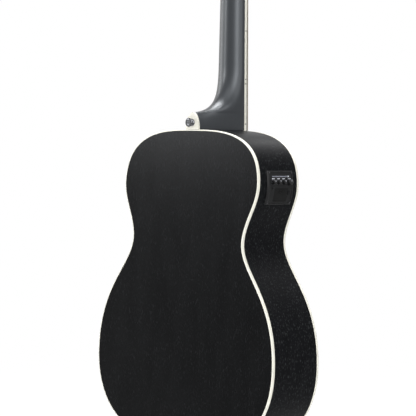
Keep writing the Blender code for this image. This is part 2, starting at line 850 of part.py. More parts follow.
def slanted_box(name, half_length, thickness, low, high, recipe, cutter=False):
    """A block along the saddle's slanted line, between two heights above the glue plane."""
    rings = []
    for x in (-half_length, half_length):
        middle = saddle_z(x)
        back, front = middle - thickness / 2, middle + thickness / 2
        rings.append([(x, -low, back), (x, -low, front), (x, -high, front), (x, -high, back)])
    return loft(name, rings, recipe, cutter=cutter, smooth=False)


def string_cutters():
    """For each string a keyhole: a round hole for the pin, and a slot to where the string goes down."""
    made = []
    for name in STRING_NAMES:
        x = spread(name, STRING_SPREAD_AT_SADDLE)
        round_part = PIN_RADIUS + GAP
        half = string_radius(name) + STRING_SLOT_CLEARANCE
        mouth = math.asin(half / round_part)
        turns = [math.pi / 2 + mouth + (2 * math.pi - 2 * mouth) * i / 16 for i in range(17)]
        z = pin_z(x)
        outline = [(x + round_part * math.cos(turn), z + round_part * math.sin(turn)) for turn in turns]
        end = string_hole_z(name) + half
        outline += [(x + half, end), (x - half, end)]
        made.append(flat(f"string_hole_{name}", [outline], CUT_REACH, plate_frame(0), CHROME, cutter=True))
    return made


def bridge_group(board):
    cutters = string_cutters()
    stations = [(-BRIDGE_HALF_LENGTH, WING_TIP_HEIGHT, WING_TIP_TAPER)]
    stations += [(-BRIDGE_HALF_LENGTH + WING_TIP_LENGTH, BRIDGE_WING_HEIGHT, WING_TIP_TAPER / 4)]
    stations += [(-WING_LOW, WING_FOOT_HEIGHT, 0), (-WING_START, BRIDGE_HEIGHT, 0)]
    stations += [(-x, height, pull_in) for x, height, pull_in in stations[::-1]]
    bridge = loft("bridge", [bridge_ring(*station) for station in stations], ROSEWOOD, smooth=False)
    slot_half = SADDLE_THICKNESS / 2 + GAP
    slot_size = (SADDLE_HALF_LENGTH + GAP, 2 * slot_half, SLOT_FLOOR, 2 * BRIDGE_TOP)
    cut(bridge, slanted_box("saddle_slot", *slot_size, BONE, cutter=True), *cutters)
    cut(board, *cutters)
    plate = box(
        "bridge_plate",
        (-BRIDGE_PLATE_HALF_LENGTH, BOARD_UNDERSIDE, PLATE_LOW_Z),
        (BRIDGE_PLATE_HALF_LENGTH, BOARD_UNDERSIDE + BRIDGE_PLATE_THICKNESS, PLATE_TOP_Z),
        MAHOGANY,
        smooth=False,
    )
    cut(plate, *cutters)
    pickup_top = SLOT_FLOOR + GAP + PICKUP_THICKNESS
    pickup_size = (SADDLE_HALF_LENGTH - GAP, SADDLE_THICKNESS - 2 * GAP, SLOT_FLOOR + GAP, pickup_top)
    slanted_box("undersaddle_pickup", *pickup_size, BRASS)
    saddle(pickup_top + GAP)
    for name in STRING_NAMES:
        bridge_pin(name)


def saddle(foot):
    """Crowned like the fretboard, a hair under the strings."""
    rings = []
    for i in range(9):
        x = SADDLE_HALF_LENGTH * (i / 4 - 1)
        top = saddle_underside(x) - GAP
        middle, half = saddle_z(x), SADDLE_THICKNESS / 2
        ring = [(foot, middle - half), (foot, middle + half), (top, middle + half), (top, middle - half)]
        rings.append([(x, -height, z) for height, z in ring])
    loft("saddle", rings, BONE, smooth=False)


def bridge_pin(name):
    x = spread(name, STRING_SPREAD_AT_SADDLE)
    base = BRIDGE_TOP + GAP
    tip = base - PIN_LENGTH
    profile = [(0, base + PIN_HEAD_HEIGHT), (PIN_HEAD_RADIUS * 0.7, base + PIN_HEAD_HEIGHT * 0.85)]
    profile += [(PIN_HEAD_RADIUS, base + PIN_HEAD_HEIGHT * 0.4), (PIN_HEAD_RADIUS * 0.8, base)]
    profile += [(PIN_RADIUS, base), (PIN_TIP_RADIUS, tip + PIN_RADIUS - PIN_TIP_RADIUS), (0, tip)]
    turned(f"bridge_pin_{name}", along((x, 0, pin_z(x)), (0, -1, 0)), profile, BLACK_PLASTIC, steps=10)


# ---------------------------------------------------------------- neck, fretboard, nut
HEEL_DEPTH = NECK_END_DEPTH - HEEL_CAP_THICKNESS - GAP
HEEL_THROAT_RISE = 0.0600  # where the heel's curve leaves the neck's line, above the joint
HEEL_RUN = (0.0300, 0.0300)  # the curve's second handle: behind the glue plane, above the joint
HEEL_NARROWING = 1.05  # how soon, along the heel's curve, the neck narrows to the heel cap
HEEL_NARROWING_POWER = 1.9  # above 1 keeps it broad near the neck
HEEL_HOLLOW_POWER = 1.16  # of its sides, from the glue plane to the cap
HALF_RING = 8  # points from the neck's edge to its spine
TRUSS_ROD_RADIUS = 0.0026
TRUSS_ROD_DEPTH = 0.0062  # its centre below the glue plane
TRUSS_CHANNEL = 0.0095
TRUSS_ROD_REACH = 0.0180  # past the nut line
TRUSS_ROD_STOP = 0.0150  # above the neck joint
TRUSS_END_ROOM = 0.0040  # for a key, past the rod's end
COVER_HALF_WIDTH = 0.0112
COVER_LENGTH = 0.0330
COVER_THICKNESS = 0.0018
BOARD_FRONT = -0.0200  # a plane well in front of the neck, for cutters
HEADSTOCK_TONGUE = 0.0220  # runs into the neck below the nut line
HEADSTOCK_NECKING = 0.0300  # from the nut line to where the headstock is wide
HEADSTOCK_LOW_HALF_WIDTH = 0.0368
HEADSTOCK_CORNER = 0.0220  # rounding of its top corners


def neck_half_width(z):
    return NUT_HALF_WIDTH + (JOINT_HALF_WIDTH - NUT_HALF_WIDTH) * z / JOINT_Z


def neck_depth(z):
    return NECK_DEPTH_AT_NUT + (NECK_DEPTH_AT_JOINT - NECK_DEPTH_AT_NUT) * z / JOINT_Z


def superellipse(share):
    return max(0.0, 1 - share**NECK_ROUNDNESS) ** (1 / NECK_ROUNDNESS)


def neck_ring(z, depth, end_share=None):
    """A section of the neck: round-backed to a depth, or through the heel's flat end.

    end_share, given for the flat end, is its half width there as a share of the heel cap's.
    """
    width = neck_half_width(z)
    if end_share is not None:
        depth = HEEL_DEPTH / superellipse(min(end_share, 0.9999))
    share = (depth - neck_depth(z)) / (HEEL_DEPTH - neck_depth(z))
    heel = max(0.0, min(1.0, HEEL_NARROWING * share)) ** HEEL_NARROWING_POWER

    def half_at(y):
        fin = HEEL_HALF_WIDTH + (width - HEEL_HALF_WIDTH) * max(0.0, 1 - y / HEEL_DEPTH) ** HEEL_HOLLOW_POWER
        return (width + (fin - width) * heel) * superellipse(y / depth)

    last = HALF_RING - 1
    angles = [math.pi / 2 * i / last for i in range(HALF_RING)]
    drops = [math.sin(angle) ** (2 / NECK_ROUNDNESS) for angle in angles]
    if end_share is None:
        half = [(half_at(depth * drop), depth * drop) for drop in drops[:-1]] + [(0.0, depth)]
    else:
        top = drops[-2]
        half = [(half_at(HEEL_DEPTH * drop / top), HEEL_DEPTH * drop / top) for drop in drops[:-1]]
        half.append((0.0, HEEL_DEPTH))
    ring = [(-x, y, z) for x, y in half]
    return ring + [(x, y, z) for x, y in half[-2::-1]]


def neck():
    rings = []
    for share in (0.0, 0.35, 0.62, 0.82, 0.94):
        z = JOINT_Z + GAP + share * HEEL_TIP
        rings.append(neck_ring(z, 0, math.sqrt(1 - share**2)))
    joint_depth = neck_depth(JOINT_Z + HEEL_START)
    handles = [(HEEL_DEPTH, HEEL_TIP), HEEL_RUN, (joint_depth, HEEL_THROAT_RISE), (joint_depth, HEEL_START)]
    for i in range(11):
        point = bezier(handles, i / 10)[0]
        rings.append(neck_ring(JOINT_Z + point.y + GAP, point.x))
    for z in (JOINT_Z * 0.55, JOINT_Z * 0.27, 0.0, NUT_THICKNESS - 0.0001):
        rings.append(neck_ring(z, neck_depth(z)))
    body = loft("neck", rings, BLACK_STAIN)
    union(body, headstock())
    over_nut = NUT_THICKNESS + 0.00005
    low_corner, high_corner = (-CUT_REACH, BOARD_FRONT, -CUT_REACH), (CUT_REACH, 0, over_nut)
    cut(body, box("glue_face", low_corner, high_corner, BLACK_STAIN, cutter=True))
    channel_low = (-TRUSS_ROD_RADIUS - GAP, BOARD_FRONT, JOINT_Z + TRUSS_ROD_STOP)
    channel_high = (TRUSS_ROD_RADIUS + GAP, TRUSS_CHANNEL, TRUSS_ROD_REACH + TRUSS_END_ROOM)
    cut(body, box("truss_rod_channel", channel_low, channel_high, STEEL, cutter=True))
    for name in STRING_NAMES:
        cut(body, drill(f"post_hole_{name}", post_frame(name), POST_RADIUS + GAP, sides=24))
    start, end = JOINT_Z + TRUSS_ROD_STOP + GAP, TRUSS_ROD_REACH
    rod("truss_rod", (0, TRUSS_ROD_DEPTH, 0), (0, 0, 1), TRUSS_ROD_RADIUS, start, end, STEEL, sides=12)
    return body


def curve_chain(points, handles, steps):
    """Points along cubic curves that join the given points, with two handles to each stretch."""
    made = []
    for (start, end), (first, second) in zip(zip(points, points[1:]), handles):
        made += [tuple(bezier((start, first, second, end), i / steps)[0]) for i in range(steps)]
    return made + [points[-1]]


def headstock():
    """The angled plate that carries the tuners, with a rounded tongue that runs into the neck."""
    wide, length, low = HEADSTOCK_HALF_WIDTH, HEADSTOCK_LENGTH, HEADSTOCK_LOW_HALF_WIDTH
    tongue, necking, corner = HEADSTOCK_TONGUE, HEADSTOCK_NECKING, HEADSTOCK_CORNER
    points = [(0, -tongue), (NUT_HALF_WIDTH, GAP), (low, necking), (wide, length - corner), (0, length)]
    handles = [
        ((NUT_HALF_WIDTH * 0.65, -tongue), (NUT_HALF_WIDTH, -tongue * 0.55)),
        ((NUT_HALF_WIDTH, necking * 0.40), (low, necking * 0.60)),
        ((low, necking * 1.65), (wide, length - corner * 2.7)),
        ((wide, length - corner * 0.27), (wide * 0.4, length)),
    ]
    right = curve_chain(points, handles, 7)
    outline = right + [(-x, y) for x, y in right[-2:0:-1]]
    frame = HEADSTOCK_FRAME @ plate_frame(HEADSTOCK_THICKNESS / 2)
    return flat("headstock", [outline], HEADSTOCK_THICKNESS, frame, BLACK_STAIN, cutter=True)


def truss_rod_cover():
    wide, length = COVER_HALF_WIDTH, COVER_LENGTH
    slim, start = wide * 0.54, length * 0.85
    points = [(wide, GAP), (slim, start), (0, length)]
    handles = [((wide, length * 0.39), (slim, length * 0.45)), ((slim, length * 0.97), (slim / 2, length))]
    right = curve_chain(points, handles, 5)
    outline = right + [(-x, y) for x, y in right[-2::-1]]
    frame = HEADSTOCK_FRAME @ plate_frame(-GAP - COVER_THICKNESS / 2)
    flat("truss_rod_cover", [outline], COVER_THICKNESS, frame, BLACK_PLASTIC)


def heel_cap():
    turns = [math.pi * i / 16 for i in range(17)]
    start = JOINT_Z + GAP
    arc = [(HEEL_HALF_WIDTH * math.cos(turn), start + HEEL_TIP * math.sin(turn)) for turn in turns]
    frame = plate_frame(NECK_END_DEPTH - HEEL_CAP_THICKNESS / 2)
    flat("heel_cap", [arc], HEEL_CAP_THICKNESS, frame, IVORY)


def strap_button():
    origin = (0, NECK_END_DEPTH + GAP, JOINT_Z + STRAP_BUTTON_RISE)
    height, radius = STRAP_BUTTON_HEIGHT, STRAP_BUTTON_RADIUS
    profile = [(0, height), (radius * 0.85, height), (radius, height * 0.88), (radius, height * 0.78)]
    profile += [(radius * 0.5, height * 0.55), (radius * 0.48, height * 0.25), (radius * 0.8, 0), (0, 0)]
    turned("strap_button", along(origin, (0, 1, 0)), profile, CHROME, steps=18)


def fretboard_ring(z, height):
    """Flat below, crowned above; height is a fret's at that place."""
    half = neck_half_width(z) - NECK_BINDING_THICKNESS - GAP
    across = [half * (1 - i / 2) for i in range(5)]
    crowned = [(x, -(FRETBOARD_THICKNESS + height - crown(x)), z) for x in across]
    return [(-half, -GAP, z), (half, -GAP, z), *crowned]


def fretboard():
    """The crowned board with its frets standing on it as one solid."""
    stations = [(-GAP, 0)]
    for number in range(1, FRET_COUNT + 1):
        z = fret_z(number)
        half = FRET_WIDTH / 2
        stations += [(z + half, 0), (z + half / 2, FRET_HEIGHT)]
        stations += [(z - half / 2, FRET_HEIGHT), (z - half, 0)]
    stations.append((FRETBOARD_END_Z + NECK_BINDING_THICKNESS + GAP, 0))
    return loft("fretboard", [fretboard_ring(*station) for station in stations], ROSEWOOD, smooth=False)


def fretboard_binding():
    end = neck_half_width(FRETBOARD_END_Z)
    top = neck_half_width(0)
    across = [(end * (1 - i / 2), FRETBOARD_END_Z) for i in range(5)]
    path = [(top, -GAP), *across, (-top, -GAP)]
    band(
        "fretboard_binding",
        path,
        lambda x, z: -(FRETBOARD_THICKNESS - crown(x)),
        lambda x, z: -GAP,
        NECK_BINDING_THICKNESS,
        IVORY,
    )


def nut():
    rings = []
    for i in range(9):
        x = NUT_HALF_WIDTH * (i / 4 - 1)
        top = nut_underside(x) + NUT_SLOT_DEPTH
        back = NUT_THICKNESS - GAP
        ring = [(GAP, GAP), (top, GAP), (top, back * 0.6), (top - NUT_BACK_FALL, back), (GAP, back)]
        rings.append([(x, -height, z) for height, z in ring])
    body = loft("nut", rings, BONE, smooth=False)
    for name in STRING_NAMES:
        x = spread(name, STRING_SPREAD_AT_NUT)
        height = nut_underside(x) + string_radius(name)
        radius = string_radius(name) + GAP
        cut(body, drill(f"nut_slot_{name}", along((x, -height, 0), (0, 0, 1)), radius, sides=12))


# ---------------------------------------------------------------- strings and tuning machines
POST_WAIST = 0.0043  # radius where the string winds
POST_EDGE = 0.0008
WHEEL_BOSS_HEIGHT = 0.0018
WRAP_TURNS = 2
WRAP_START = 0.0060  # the lowest turn above the headstock's face
WRAP_STEPS = 10  # points for each turn
BALL_SWELL = 0.0030  # radius of the ball end
BALL_LENGTH = 0.0045
STRING_BEND_ROOM = 0.0002  # from the nut's back edge to where a string bends
TUNER_PLATE_MARGIN = 0.0020
TUNER_PLATE_CORNER = 0.0030
PLATE_HALF_WIDTH = 0.0125
EAR_THICKNESS = 0.0028
EAR_CLEARANCE = 0.0006  # from the worm's ends
EAR_WALL = 0.0012  # above the key's bore
EAR_HALF_HEIGHT = 0.0042
WORM_HALF_LENGTH = 0.0046
PLATE_DEPTH = HEADSTOCK_THICKNESS + GAP
WHEEL_DEPTH = PLATE_DEPTH + TUNER_PLATE_THICKNESS + GAP
WORM_DEPTH = WHEEL_DEPTH + WHEEL_THICKNESS / 2
WORM_OFFSET = WHEEL_RADIUS + WORM_RADIUS + GAP
BLADE_THICKNESS = 0.0034
CLOVER_NOTCH = 0.12  # half a notch's depth, as a share of the blade's radius
CLOVER_STRETCH = 1.15  # the blade's length over its width
TOOTH_DEPTH = 0.0012


def post_place(name):
    """A post's x and its distance along the headstock: outer strings take the lower posts."""
    x, rise = LOWER_POSTS if name in ("e", "g") else UPPER_POSTS
    return (-x if name in ("e", "a") else x), rise


def headstock_point(x, depth, rise):
    """World point from a place on the headstock: depth is behind its face."""
    return HEADSTOCK_FRAME @ Vector((x, depth, rise))


def post_frame(name):
    """The post's own frame: +Z out of the headstock's face, along the post."""
    x, rise = post_place(name)
    return HEADSTOCK_FRAME @ Matrix.Translation((x, 0, rise)) @ Matrix.Rotation(math.radians(90), 4, "X")


def string_route(name):
    """Points from the ball end, over saddle and nut, to the last turn on the post, and each one's swell."""
    radius = string_radius(name)
    near, far = spread(name, STRING_SPREAD_AT_SADDLE), spread(name, STRING_SPREAD_AT_NUT)
    hole = string_hole_z(name)
    plate_back = BOARD_UNDERSIDE + BRIDGE_PLATE_THICKNESS
    ball = plate_back + GAP + STRING_BEND_ROOM * 2
    over_bridge = BRIDGE_TOP + radius + GAP
    over_saddle = saddle_underside(near) + radius
    saddle_back = saddle_z(near) - SADDLE_THICKNESS / 2
    slope = math.atan2(over_saddle - over_bridge, saddle_back - hole)
    saddle_back -= (radius + GAP) * math.tan(slope / 2)
    over_nut = nut_underside(far) + radius
    ball_share = BALL_SWELL / radius
    points = [(near, ball + BALL_LENGTH, hole), (near, ball, hole), (near, ball - GAP, hole)]
    points += [(near, -over_bridge, hole), (near, -over_saddle, saddle_back)]
    points.append((far, -over_nut, NUT_THICKNESS + STRING_BEND_ROOM))
    swell = [ball_share, ball_share, 1, 1, 1, 1]

    leave = HEADSTOCK_FRAME.inverted() @ Vector(points[-1])
    x, rise = post_place(name)
    side = 1 if x < 0 else -1
    reach = (POST_WAIST + radius + GAP) / math.cos(math.pi / WRAP_STEPS)
    away = Vector((leave.x - x, leave.z - rise))
    first = math.atan2(away.y, away.x) + side * math.acos(reach / away.length)
    pitch = 2 * radius + GAP
    for i in range(int(WRAP_TURNS * WRAP_STEPS) + 1):
        turn = first + side * 2 * math.pi * i / WRAP_STEPS
        depth = -(WRAP_START + pitch * i / WRAP_STEPS)
        place_on = (x + reach * math.cos(turn), depth, rise + reach * math.sin(turn))
        points.append(tuple(headstock_point(*place_on)))
        swell.append(1)
    return points, swell


def strings():
    for name in STRING_NAMES:
        points, swell = string_route(name)
        wire(f"string_{name}", points, string_radius(name), swell, WINDING)


def tuner(name):
    """Plate with two ears, post with its worm wheel, and key with its worm."""
    x, rise = post_place(name)
    side = -1 if x < 0 else 1
    frame = HEADSTOCK_FRAME @ Matrix.Translation((x, 0, rise))
    worm_z = -WORM_OFFSET

    low = worm_z - EAR_HALF_HEIGHT - TUNER_PLATE_MARGIN
    high = WHEEL_RADIUS + TUNER_PLATE_MARGIN
    corner = TUNER_PLATE_CORNER
    edge = PLATE_HALF_WIDTH
    outline = [(-edge, low + corner), (-edge + corner, low), (edge - corner, low), (edge, low + corner)]
    outline += [(edge, high - corner), (edge - corner, high), (-edge + corner, high), (-edge, high - corner)]
    middle = PLATE_DEPTH + TUNER_PLATE_THICKNESS / 2
    hole = circle(POST_RADIUS + GAP, points=24)
    plate = flat(
        f"tuner_plate_{name}", [outline, hole], TUNER_PLATE_THICKNESS, frame @ plate_frame(middle), CHROME
    )
    for ear, place_on in (("inner", -1), ("outer", 1)):
        centre = place_on * (WORM_HALF_LENGTH + EAR_CLEARANCE + EAR_THICKNESS / 2)
        corner_low = (centre - EAR_THICKNESS / 2, middle, worm_z - EAR_HALF_HEIGHT)
        ear_top = worm_z + KEY_SHAFT_RADIUS + EAR_WALL
        corner_high = (centre + EAR_THICKNESS / 2, WORM_DEPTH + EAR_HALF_HEIGHT, ear_top)
        ear_name = f"tuner_ear_{ear}_{name}"
        union(plate, box(ear_name, corner_low, corner_high, CHROME, cutter=True, matrix=frame))
    bore_frame = frame @ along((0, WORM_DEPTH, worm_z), (1, 0, 0))
    cut(plate, drill(f"tuner_bore_{name}", bore_frame, KEY_SHAFT_RADIUS + GAP))

    top, edge = POST_HEIGHT, POST_EDGE
    wrap_low = WRAP_START - 2 * edge
    wrap_high = top - 4 * edge
    bottom = -(WHEEL_DEPTH + WHEEL_THICKNESS)
    boss = bottom - WHEEL_BOSS_HEIGHT
    profile = [(0, top), (POST_RADIUS * 0.9, top), (POST_RADIUS, top - edge), (POST_RADIUS, wrap_high + edge)]
    profile += [(POST_WAIST, wrap_high), (POST_WAIST, wrap_low), (POST_RADIUS, wrap_low - edge)]
    profile += [(POST_RADIUS, bottom), (POST_WAIST, bottom), (POST_WAIST * 0.85, boss), (0, boss)]
    post = turned(f"tuner_post_{name}", post_frame(name), profile, CHROME, steps=14)
    union(post, worm_wheel(name, frame))

    reach = HEADSTOCK_HALF_WIDTH + KEY_REACH - abs(x)
    key_frame = frame @ along((0, WORM_DEPTH, worm_z), (side, 0, 0))
    inner = -(WORM_HALF_LENGTH + EAR_CLEARANCE + EAR_THICKNESS)
    worm, shaft, collar = WORM_RADIUS, KEY_SHAFT_RADIUS, KEY_COLLAR_RADIUS
    worm_end = WORM_HALF_LENGTH + EAR_CLEARANCE / 2
    blade_start = reach - KEY_BLADE_RADIUS
    profile = [(0, blade_start + collar), (collar * 0.9, blade_start + collar * 0.9)]
    profile += [(collar, blade_start - collar * 0.3), (shaft, blade_start - collar)]
    profile += [(shaft, worm_end), (worm, WORM_HALF_LENGTH), (worm, -WORM_HALF_LENGTH)]
    profile += [(shaft, -worm_end), (shaft, inner), (0, inner)]
    key = turned(f"tuner_key_{name}", key_frame, profile, CHROME, steps=12)
    blade_frame = frame @ Matrix.Translation((side * reach, 0, worm_z)) @ plate_frame(WORM_DEPTH)
    outline = clover(KEY_BLADE_RADIUS)
    union(key, flat(f"key_blade_{name}", [outline], BLADE_THICKNESS, blade_frame, CHROME, cutter=True))


def clover(size):
    """A rounded blade with shallow notches between its lobes."""
    points = []
    for i in range(24):
        turn = 2 * math.pi * i / 24
        radius = size * (1 - CLOVER_NOTCH + CLOVER_NOTCH * math.cos(4 * turn))
        points.append((radius * math.cos(turn), CLOVER_STRETCH * radius * math.sin(turn)))
    return points


def worm_wheel(name, frame):
    points = []
    for i in range(WHEEL_TEETH * 2):
        radius = WHEEL_RADIUS if i % 2 else WHEEL_RADIUS - TOOTH_DEPTH
        turn = math.pi * i / WHEEL_TEETH
        points.append((radius * math.cos(turn), radius * math.sin(turn)))
    wheel_frame = frame @ plate_frame(WHEEL_DEPTH + WHEEL_THICKNESS / 2)
    return flat(f"worm_wheel_{name}", [points], WHEEL_THICKNESS, wheel_frame, BRASS, cutter=True)


# ---------------------------------------------------------------- preamp in the bass side
PANEL_OUT = GAP + PREAMP_PANEL_THICKNESS  # its outer face beyond the side
PREAMP_TOP_Z = JOINT_Z - PREAMP_DROP
PREAMP_LOW_Z = PREAMP_TOP_Z - PREAMP_HEIGHT
PANEL_STEPS = 8
HOUSING_CLEARANCE = 0.0005
BATTERY_SETBACK = 0.0010  # behind the housing's face
KNOB_SHAFT_RADIUS = 0.0012
KNOB_SHAFT_REACH = 0.0006  # past the panel's inner face


def panel_path(top, low):
    """A stretch of the bass side's outline, outside it by the panel's thickness, from below upwards."""
    heights = [low + (top - low) * i / PANEL_STEPS for i in range(PANEL_STEPS + 1)]
    return [(-outline_at(place_at_z(z, -PANEL_OUT), -PANEL_OUT).x, z) for z in heights]


def panel_frame(behind, drop):
    """A frame on the panel's outer face whose +Z points out of it."""
    z = PREAMP_TOP_Z - drop
    place_on = place_at_z(z, -PANEL_OUT)
    _, slope = bezier(outline_curves()[min(int(place_on), 3)], place_on - min(int(place_on), 3))
    outwards = Vector((slope.y, 0, slope.x)).normalized()
    x = -outline_at(place_on, -PANEL_OUT).x
    return along((x, PREAMP_FROM_FACE + behind, z), outwards)


def panel_piece(name, top, low, front, back, recipe):
    path = panel_path(top, low)
    return band(name, path, lambda x, z: front, lambda x, z: back, PREAMP_PANEL_THICKNESS, recipe)


def door_edges(margin):
    """The door's top, bottom, front and back, moved outwards by a margin."""
    top = PREAMP_TOP_Z - DOOR_DROP
    front = PREAMP_FROM_FACE + DOOR_INSET
    return top + margin, top - DOOR_HEIGHT - margin, front - margin, front + DOOR_WIDTH + margin


def preamp(side):
    front, back = PREAMP_FROM_FACE, PREAMP_FROM_FACE + PREAMP_WIDTH
    panel = panel_piece("preamp_panel", PREAMP_TOP_Z, PREAMP_LOW_Z, front, back, BLACK_PLASTIC)
    outside = -UPPER_BOUT_WIDTH
    top, low, near, far = door_edges(GAP)
    cut(panel, box("door_hole", (outside, near, low), (0, far, top), BLACK_PLASTIC, cutter=True))
    opening_top, opening_low = PREAMP_TOP_Z - PREAMP_FLANGE, PREAMP_LOW_Z + PREAMP_FLANGE
    opening_near, opening_far = front + PREAMP_FLANGE, back - PREAMP_FLANGE
    low_corner = (outside, opening_near, opening_low)
    high_corner = (-WAIST_WIDTH / 4, opening_far, opening_top)
    cut(side, box("preamp_opening", low_corner, high_corner, BLACK_STAIN, cutter=True))

    rim = min(abs(x) for x, _ in panel_path(opening_top, opening_low)) - PREAMP_PANEL_THICKNESS
    face = -(rim - 2 * GAP)
    c = HOUSING_CLEARANCE
    low_corner = (face, opening_near + c, opening_low + c)
    high_corner = (face + HOUSING_DEPTH, opening_far - c, opening_top - c)
    housing = box("preamp_housing", low_corner, high_corner, BLACK_PLASTIC, smooth=False)
    top, low, near, far = door_edges(0)
    thick, long, tall = BATTERY_SIZE
    middle_y, middle_z = (near + far) / 2, (top + low) / 2
    half_y, half_z = thick / 2 + c, tall / 2 + c
    battery_start = face + BATTERY_SETBACK
    bay_low = (face - HOUSING_WALL, middle_y - half_y, middle_z - half_z)
    bay_high = (battery_start + long + c, middle_y + half_y, middle_z + half_z)
    cut(housing, box("battery_bay", bay_low, bay_high, BLACK_PLASTIC, cutter=True))
    wall = HOUSING_WALL
    pocket_low = (face + 2 * wall, opening_near + c + wall, middle_z + half_z + wall)
    pocket_high = (face + HOUSING_DEPTH + wall, opening_far - c - wall, opening_top - c - wall)
    cut(housing, box("circuit_pocket", pocket_low, pocket_high, BLACK_PLASTIC, cutter=True))
    battery_low = (battery_start, middle_y - thick / 2, middle_z - tall / 2)
    battery_high = (battery_start + long, middle_y + thick / 2, middle_z + tall / 2)
    box("battery", battery_low, battery_high, STEEL, smooth=False)

    panel_piece("battery_door", top, low, near, far, BLACK_PLASTIC)
    for name, behind in KNOB_PLACES.items():
        radius = LARGE_KNOB_RADIUS if name == "volume_knob" else SMALL_KNOB_RADIUS
        frame = panel_frame(behind, KNOB_DROP)
        shaft_end = -(PREAMP_PANEL_THICKNESS + KNOB_SHAFT_REACH)
        profile = [(0, KNOB_HEIGHT), (radius * 0.82, KNOB_HEIGHT), (radius * 0.92, KNOB_HEIGHT * 0.9)]
        profile += [(radius, GAP), (KNOB_SHAFT_RADIUS, GAP), (KNOB_SHAFT_RADIUS, shaft_end), (0, shaft_end)]
        turned(name, frame, profile, BLACK_PLASTIC, steps=14)
        cut(panel, drill(name + "_hole", frame, KNOB_SHAFT_RADIUS + GAP))
    frame = panel_frame(*BUTTON_PLACE)
    top, foot = BUTTON_HEIGHT, -PREAMP_PANEL_THICKNESS - GAP
    profile = [(0, top), (BUTTON_RADIUS * 0.8, top), (BUTTON_RADIUS, top * 0.75)]
    profile += [(BUTTON_RADIUS, foot), (0, foot)]
    turned("tune_button", frame, profile, BLACK_PLASTIC, steps=12)
    cut(panel, drill("tune_button_hole", frame, BUTTON_RADIUS + GAP, sides=12))


# ---------------------------------------------------------------- output jack in the tail
def output_jack(treble, bass):
    origin = (0, jack_y(), JOINT_Z - BODY_LENGTH)
    frame = along(origin, (0, 0, -1))
    for side in (treble, bass):
        cut(side, drill(f"jack_bore_{side.name}", frame, JACK_RADIUS + GAP, sides=24))
    bore, radius, height = JACK_BORE_RADIUS, STRAP_BUTTON_RADIUS, JACK_HEIGHT
    floor = JACK_WALL - JACK_LENGTH
    profile = [(0, floor), (bore, floor), (bore, height), (radius * 0.9, height)]
    profile += [(radius, height * 0.92), (radius, height * 0.80), (radius * 0.75, height * 0.60)]
    profile += [(radius * 0.75, height * 0.28), (radius * 1.25, height * 0.18), (radius * 1.25, GAP)]
    profile.append((JACK_RADIUS, GAP))
    profile += [(JACK_RADIUS, -JACK_LENGTH), (0, -JACK_LENGTH)]
    turned("output_jack", frame, profile, CHROME, steps=16)


# ---------------------------------------------------------------- the whole instrument
def build():
    board = soundboard()
    back_plate()
    treble, bass = sides()
    bindings()
    linings()
    blocks()
    braces()
    bridge_group(board)
    neck()
    truss_rod_cover()
    heel_cap()
    strap_button()
    fretboard()
    fretboard_binding()
    nut()
    strings()
    for name in STRING_NAMES:
        tuner(name)
    preamp(bass)
    output_jack(treble, bass)


build()
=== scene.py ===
"""The looks of the four-string acoustic-electric bass guitar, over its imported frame.

World frame, in metres: +Z up the neck, the soundboard faces -Y, the back +Y, the bass side -X. The origin is
on the centreline where the nut meets the fretboard.
"""

import json
import math

import bmesh
import bpy
from mathutils import Matrix, Vector

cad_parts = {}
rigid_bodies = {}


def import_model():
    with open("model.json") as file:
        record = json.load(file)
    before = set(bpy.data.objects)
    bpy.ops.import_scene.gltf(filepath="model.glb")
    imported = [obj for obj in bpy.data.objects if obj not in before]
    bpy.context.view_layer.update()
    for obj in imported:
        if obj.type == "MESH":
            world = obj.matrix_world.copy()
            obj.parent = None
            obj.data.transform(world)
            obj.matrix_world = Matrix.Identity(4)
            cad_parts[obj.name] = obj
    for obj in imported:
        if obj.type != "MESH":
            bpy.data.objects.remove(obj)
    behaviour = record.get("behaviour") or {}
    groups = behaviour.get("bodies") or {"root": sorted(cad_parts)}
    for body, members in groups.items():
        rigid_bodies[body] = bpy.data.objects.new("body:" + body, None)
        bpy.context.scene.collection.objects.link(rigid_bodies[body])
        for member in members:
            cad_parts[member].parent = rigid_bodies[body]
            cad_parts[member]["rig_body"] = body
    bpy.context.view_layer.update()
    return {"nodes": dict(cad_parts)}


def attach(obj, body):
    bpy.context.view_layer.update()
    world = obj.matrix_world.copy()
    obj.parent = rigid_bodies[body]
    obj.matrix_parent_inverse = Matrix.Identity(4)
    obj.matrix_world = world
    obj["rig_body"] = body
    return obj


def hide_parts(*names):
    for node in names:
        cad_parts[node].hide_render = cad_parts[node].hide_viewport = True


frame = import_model()
NODES = frame["nodes"]

# ---------------------------------------------------------------- sizes, as in the frame
GAP = 0.0003
SCALE_LENGTH = 0.813
FRET_COUNT = 20
BODY_LENGTH = 0.4953
UPPER, UPPER_DROP = 0.2887 / 2, 0.0839
WAIST, WAIST_DROP = 0.2379 / 2, 0.1702
LOWER, LOWER_DROP = 0.3812 / 2, 0.3549
# The outline's handles, as shares of a half width or of the drop between two widths.
SHOULDER_FLAT, SHOULDER_RISE = 0.3635, 1.035
UPPER_ROUND, WAIST_ROUND_ABOVE, WAIST_ROUND_BELOW = 0.342, 0.339, 0.2442
LOWER_ROUND_ABOVE, LOWER_ROUND_BELOW, TAIL_FLAT = 0.5806, 0.7597, 0.5225
NECK_END_DEPTH, TAIL_END_DEPTH, DOME_RADIUS = 0.0880, 0.1089, 7.6
BINDING_T, BINDING_H, BINDING_ROUND = 0.0018, 0.0047, 0.0011
SIDE_T = 0.0022
BOARD_T, BACK_T = 0.0033, 0.0028
HOLE_R, HOLE_DROP = 0.0495, 0.1520
ROSETTE_START, ROSETTE_T, ROSETTE_PROUD = 0.0050, 0.0009, 0.00002
NUT_HALF, JOINT_HALF = 0.0214, 0.0280
FRETBOARD_T, FRETBOARD_R, OVERHANG = 0.0063, 0.305, 0.0940
FRET_H, FRET_W, NECK_BINDING_T = 0.0011, 0.0026, 0.0015
